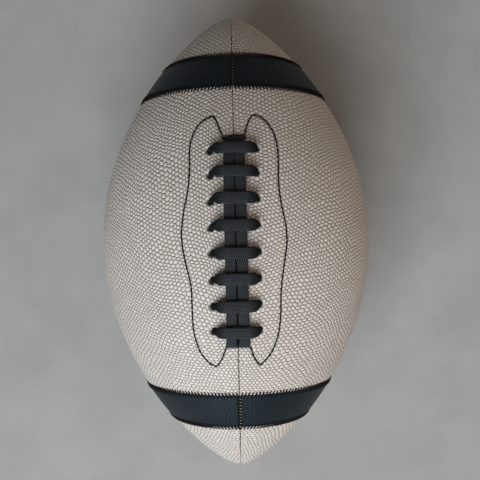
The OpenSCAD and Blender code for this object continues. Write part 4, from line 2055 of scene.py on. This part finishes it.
    def build_seam_stitches(self, end: End, finishes: Finishes) -> None:
        """Sews two stripes together at the top seam, with dark stitches and, in turn, pale ones
        that are painted highlights between them.

        Args:
            end: The end of the ball.
            finishes: The ball's finishes.
        """
        first, last = self.start + 1.2 * MM, self.start + self.width - 0.6 * MM
        places = np.arange(first, last, self.seam_pitch)
        threads = {"dark": finishes.thread, "pale": finishes.highlight_thread}
        for stitch in self.seam_stitches:
            y = end.value * (places[:-1] + stitch.lag if stitch.lag else places)
            turn = stitch.reach / FORM.radius(y)
            shift = stitch.aside / FORM.radius(y)
            level = np.full_like(y, self.thickness - stitch.sink)
            left = FORM.place(y + self.seam_slant, shift - turn, level)
            right = FORM.place(y - self.seam_slant, shift + turn, level)
            frames = stitch_frames(left, right, FORM.normal(y, 0 * y), stitch.thread_r)
            name = f"seam_stitches_{stitch.kind}_{end.name}".lower()
            piece = repeat_piece(name, add_stitch(0.3), frames)
            dress(piece, threads[stitch.kind])

    def build(self, cover: Cover, finishes: Finishes) -> None:
        """Models and dresses the stripes and their stitching.

        Args:
            cover: The cover that they lie on.
            finishes: The ball's finishes.
        """
        for end in End:
            for side in Side:
                self.build_band(side, end, cover, finishes)
                self.build_edging(side, end, finishes)
            self.build_seam_stitches(end, finishes)
            LOG.info("stripes: %s end", end.name.lower())


# ---------------------------------------------------------------- topstitching


@dataclass
class Topstitching:
    """The dark line of stitches that holds the facings behind the lacing."""

    pitch: float = 3.3 * MM
    thread_r: float = 0.5 * MM
    sink: float = 0.2 * MM

    def build(self, finishes: Finishes) -> None:
        """Sews the line on both sides.

        Args:
            finishes: The ball's finishes.
        """
        for side in Side:
            path = OUTLINES[side].path(self.pitch)
            x, y = path.T
            holes = FORM.place(y, FORM.angle_beside_seam(x, y), np.full(len(y), -self.sink))
            x, y = (path[:-1] + path[1:]).T / 2
            out = FORM.normal(y, FORM.angle_beside_seam(x, y))
            frames = stitch_frames(holes[:-1], holes[1:], out, self.thread_r)
            piece = repeat_piece(f"topstitching_{side.name}".lower(), add_stitch(0.45), frames)
            dress(piece, finishes.thread)
            LOG.info("topstitching: %d stitches", len(frames))


# ---------------------------------------------------------------- seams


@dataclass
class SeamSewing:
    """The thread that shows as small dark points at the bottom of the four seams."""

    pitch: float = 2.05 * MM
    reach: float = 0.62 * MM
    sink: float = 0.75 * MM
    thread_r: float = 0.26 * MM
    from_tip: float = 9 * MM
    from_stripe: float = 1 * MM
    from_lacing: float = 3 * MM

    def build(self, lacing: Lacing, stripes: Stripes, finishes: Finishes) -> None:
        """Sews the seams together.

        Args:
            lacing: The lacing, which leaves the middle of the top seam open.
            stripes: The stripes, which cover a stretch of the top seam.
            finishes: The ball's finishes.
        """
        last = FORM.half_length - self.from_tip
        places = np.arange(-last, last, self.pitch)
        far = np.abs(places)
        band = (far > stripes.start - self.from_stripe) & (far < stripes.start + stripes.width)
        free = (far > lacing.end + self.from_lacing) & ~band
        for number, seam in enumerate(("top", "right", "bottom", "left")):
            y = places[free] if seam == "top" else places
            angle = np.full_like(y, number * np.pi / 2)
            turn = self.reach / FORM.radius(y)
            sink = np.full_like(y, -self.sink)
            ends = FORM.place(y, angle - turn, sink), FORM.place(y, angle + turn, sink)
            frames = stitch_frames(*ends, FORM.normal(y, angle), self.thread_r)
            piece = repeat_piece(f"seam_sewing_{seam}", add_stitch(0.2), frames)
            points = read_points(piece)
            points[:, 2] = np.maximum(points[:, 2], 0.0)
            write_points(piece, points)
            dress(piece, finishes.seam_thread)


# ---------------------------------------------------------------- inner pieces


class InnerPieces:
    """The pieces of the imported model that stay, each with its finish."""

    def dress(self, frame: dict[str, Any], finishes: Finishes) -> None:
        """Gives each carried-over node its finish.

        Args:
            frame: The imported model.
            finishes: The ball's finishes.
        """
        choice = {
            "lining": finishes.lining,
            "facing": finishes.facing,
            "lace_tongue": finishes.tongue,
            "bladder": finishes.bladder,
            "valve_boot": finishes.valve,
            "valve_plug": finishes.plug,
        }
        for node, piece in frame["nodes"].items():
            for start, material in choice.items():
                if node.startswith(start):
                    piece.data.materials.clear()
                    piece.data.materials.append(material)
                    LOG.info("%s keeps its shape, with %s", node, material.name)


# ---------------------------------------------------------------- studio


@dataclass(frozen=True)
class Lamp:
    """A soft square lamp that looks at the ball."""

    name: str
    place: Triple
    size: float
    power: float
    colour: Colour

    def hang(self) -> None:
        """Hangs the lamp."""
        deselect_all()
        bpy.ops.object.light_add(type="AREA", location=self.place)
        lamp = bpy.context.object
        lamp.name = lamp.data.name = self.name
        lamp.data.size = self.size
        lamp.data.energy = self.power
        lamp.data.color = self.colour
        look = Vector((0, 0, FORM.axis_height)) - Vector(self.place)
        lamp.rotation_euler = look.to_track_quat("-Z", "Y").to_euler()


@dataclass
class Studio:
    """The floor, the lamps, the world and the camera."""

    camera_height: float = 600 * MM
    lens: float = 69.5
    roll: float = math.radians(-1.29)
    shift_x: float = 0.0083
    shift_y: float = 0.002
    sensor: float = 36.0
    floor_size: float = 6.0
    floor_shades: tuple[Colour, Colour] = ((0.325, 0.335, 0.34), (0.365, 0.375, 0.38))
    world_colour: Colour = (1.0, 0.83, 0.68)
    world_strength: float = 0.13
    lamps: tuple[Lamp, ...] = (
        Lamp("key", (-0.42, -1.1, 1.25), 1.3, 33.8, (0.964, 0.988, 1.0)),
        Lamp("overhead", (0.5, 0.1, 1.8), 1.6, 1.2, (1.0, 0.86, 0.74)),
        Lamp("warm_fill", (1.3, -0.2, 0.65), 0.9, 3.4, (1.0, 0.74, 0.54)),
    )

    def build_floor(self) -> None:
        """Lays the pale floor."""
        deselect_all()
        bpy.ops.mesh.primitive_plane_add(size=self.floor_size, location=(0, 0, 0))
        floor = bpy.context.object
        floor.name = "floor"
        material, sheet, shader, place = start_material("pale_floor")
        mottle = sheet.spread(sheet.noise(place, 50 * MM, 4.0, 0.6), 0.3, 0.7)
        sheet.feed(shader.inputs["Base Color"], sheet.blend(mottle, *self.floor_shades))
        shader.inputs["Roughness"].default_value = 0.85
        floor.data.materials.append(material)

    def build(self) -> None:
        """Sets up the floor, the lamps, the world and the camera."""
        self.build_floor()
        for lamp in self.lamps:
            lamp.hang()
        world = bpy.data.worlds.new("studio")
        world.use_nodes = True
        back = world.node_tree.nodes["Background"].inputs
        back["Color"].default_value = (*self.world_colour, 1)
        back["Strength"].default_value = self.world_strength
        scene = bpy.context.scene
        scene.world = world
        scene.view_settings.view_transform = "Standard"
        deselect_all()
        height = FORM.axis_height + self.camera_height
        bpy.ops.object.camera_add(location=(0, 0, height), rotation=(0, 0, self.roll))
        camera = bpy.context.object
        camera.data.lens = self.lens
        camera.data.sensor_width = self.sensor
        camera.data.shift_x = self.shift_x
        camera.data.shift_y = self.shift_y
        camera.data.dof.use_dof = False
        scene.camera = camera


def main() -> None:
    """Builds the ball and its studio in order."""
    logging.basicConfig(level=logging.INFO, format="%(name)s: %(message)s")
    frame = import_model()
    Studio().build()
    finishes = Finishes()
    lacing = Lacing()
    cover = Cover(lacing)
    InnerPieces().dress(frame, finishes)
    lacing.build(finishes)
    cover.build(finishes)
    stripes = Stripes()
    stripes.build(cover, finishes)
    Topstitching().build(finishes)
    SeamSewing().build(lacing, stripes, finishes)


if __name__ == "__main__":
    main()
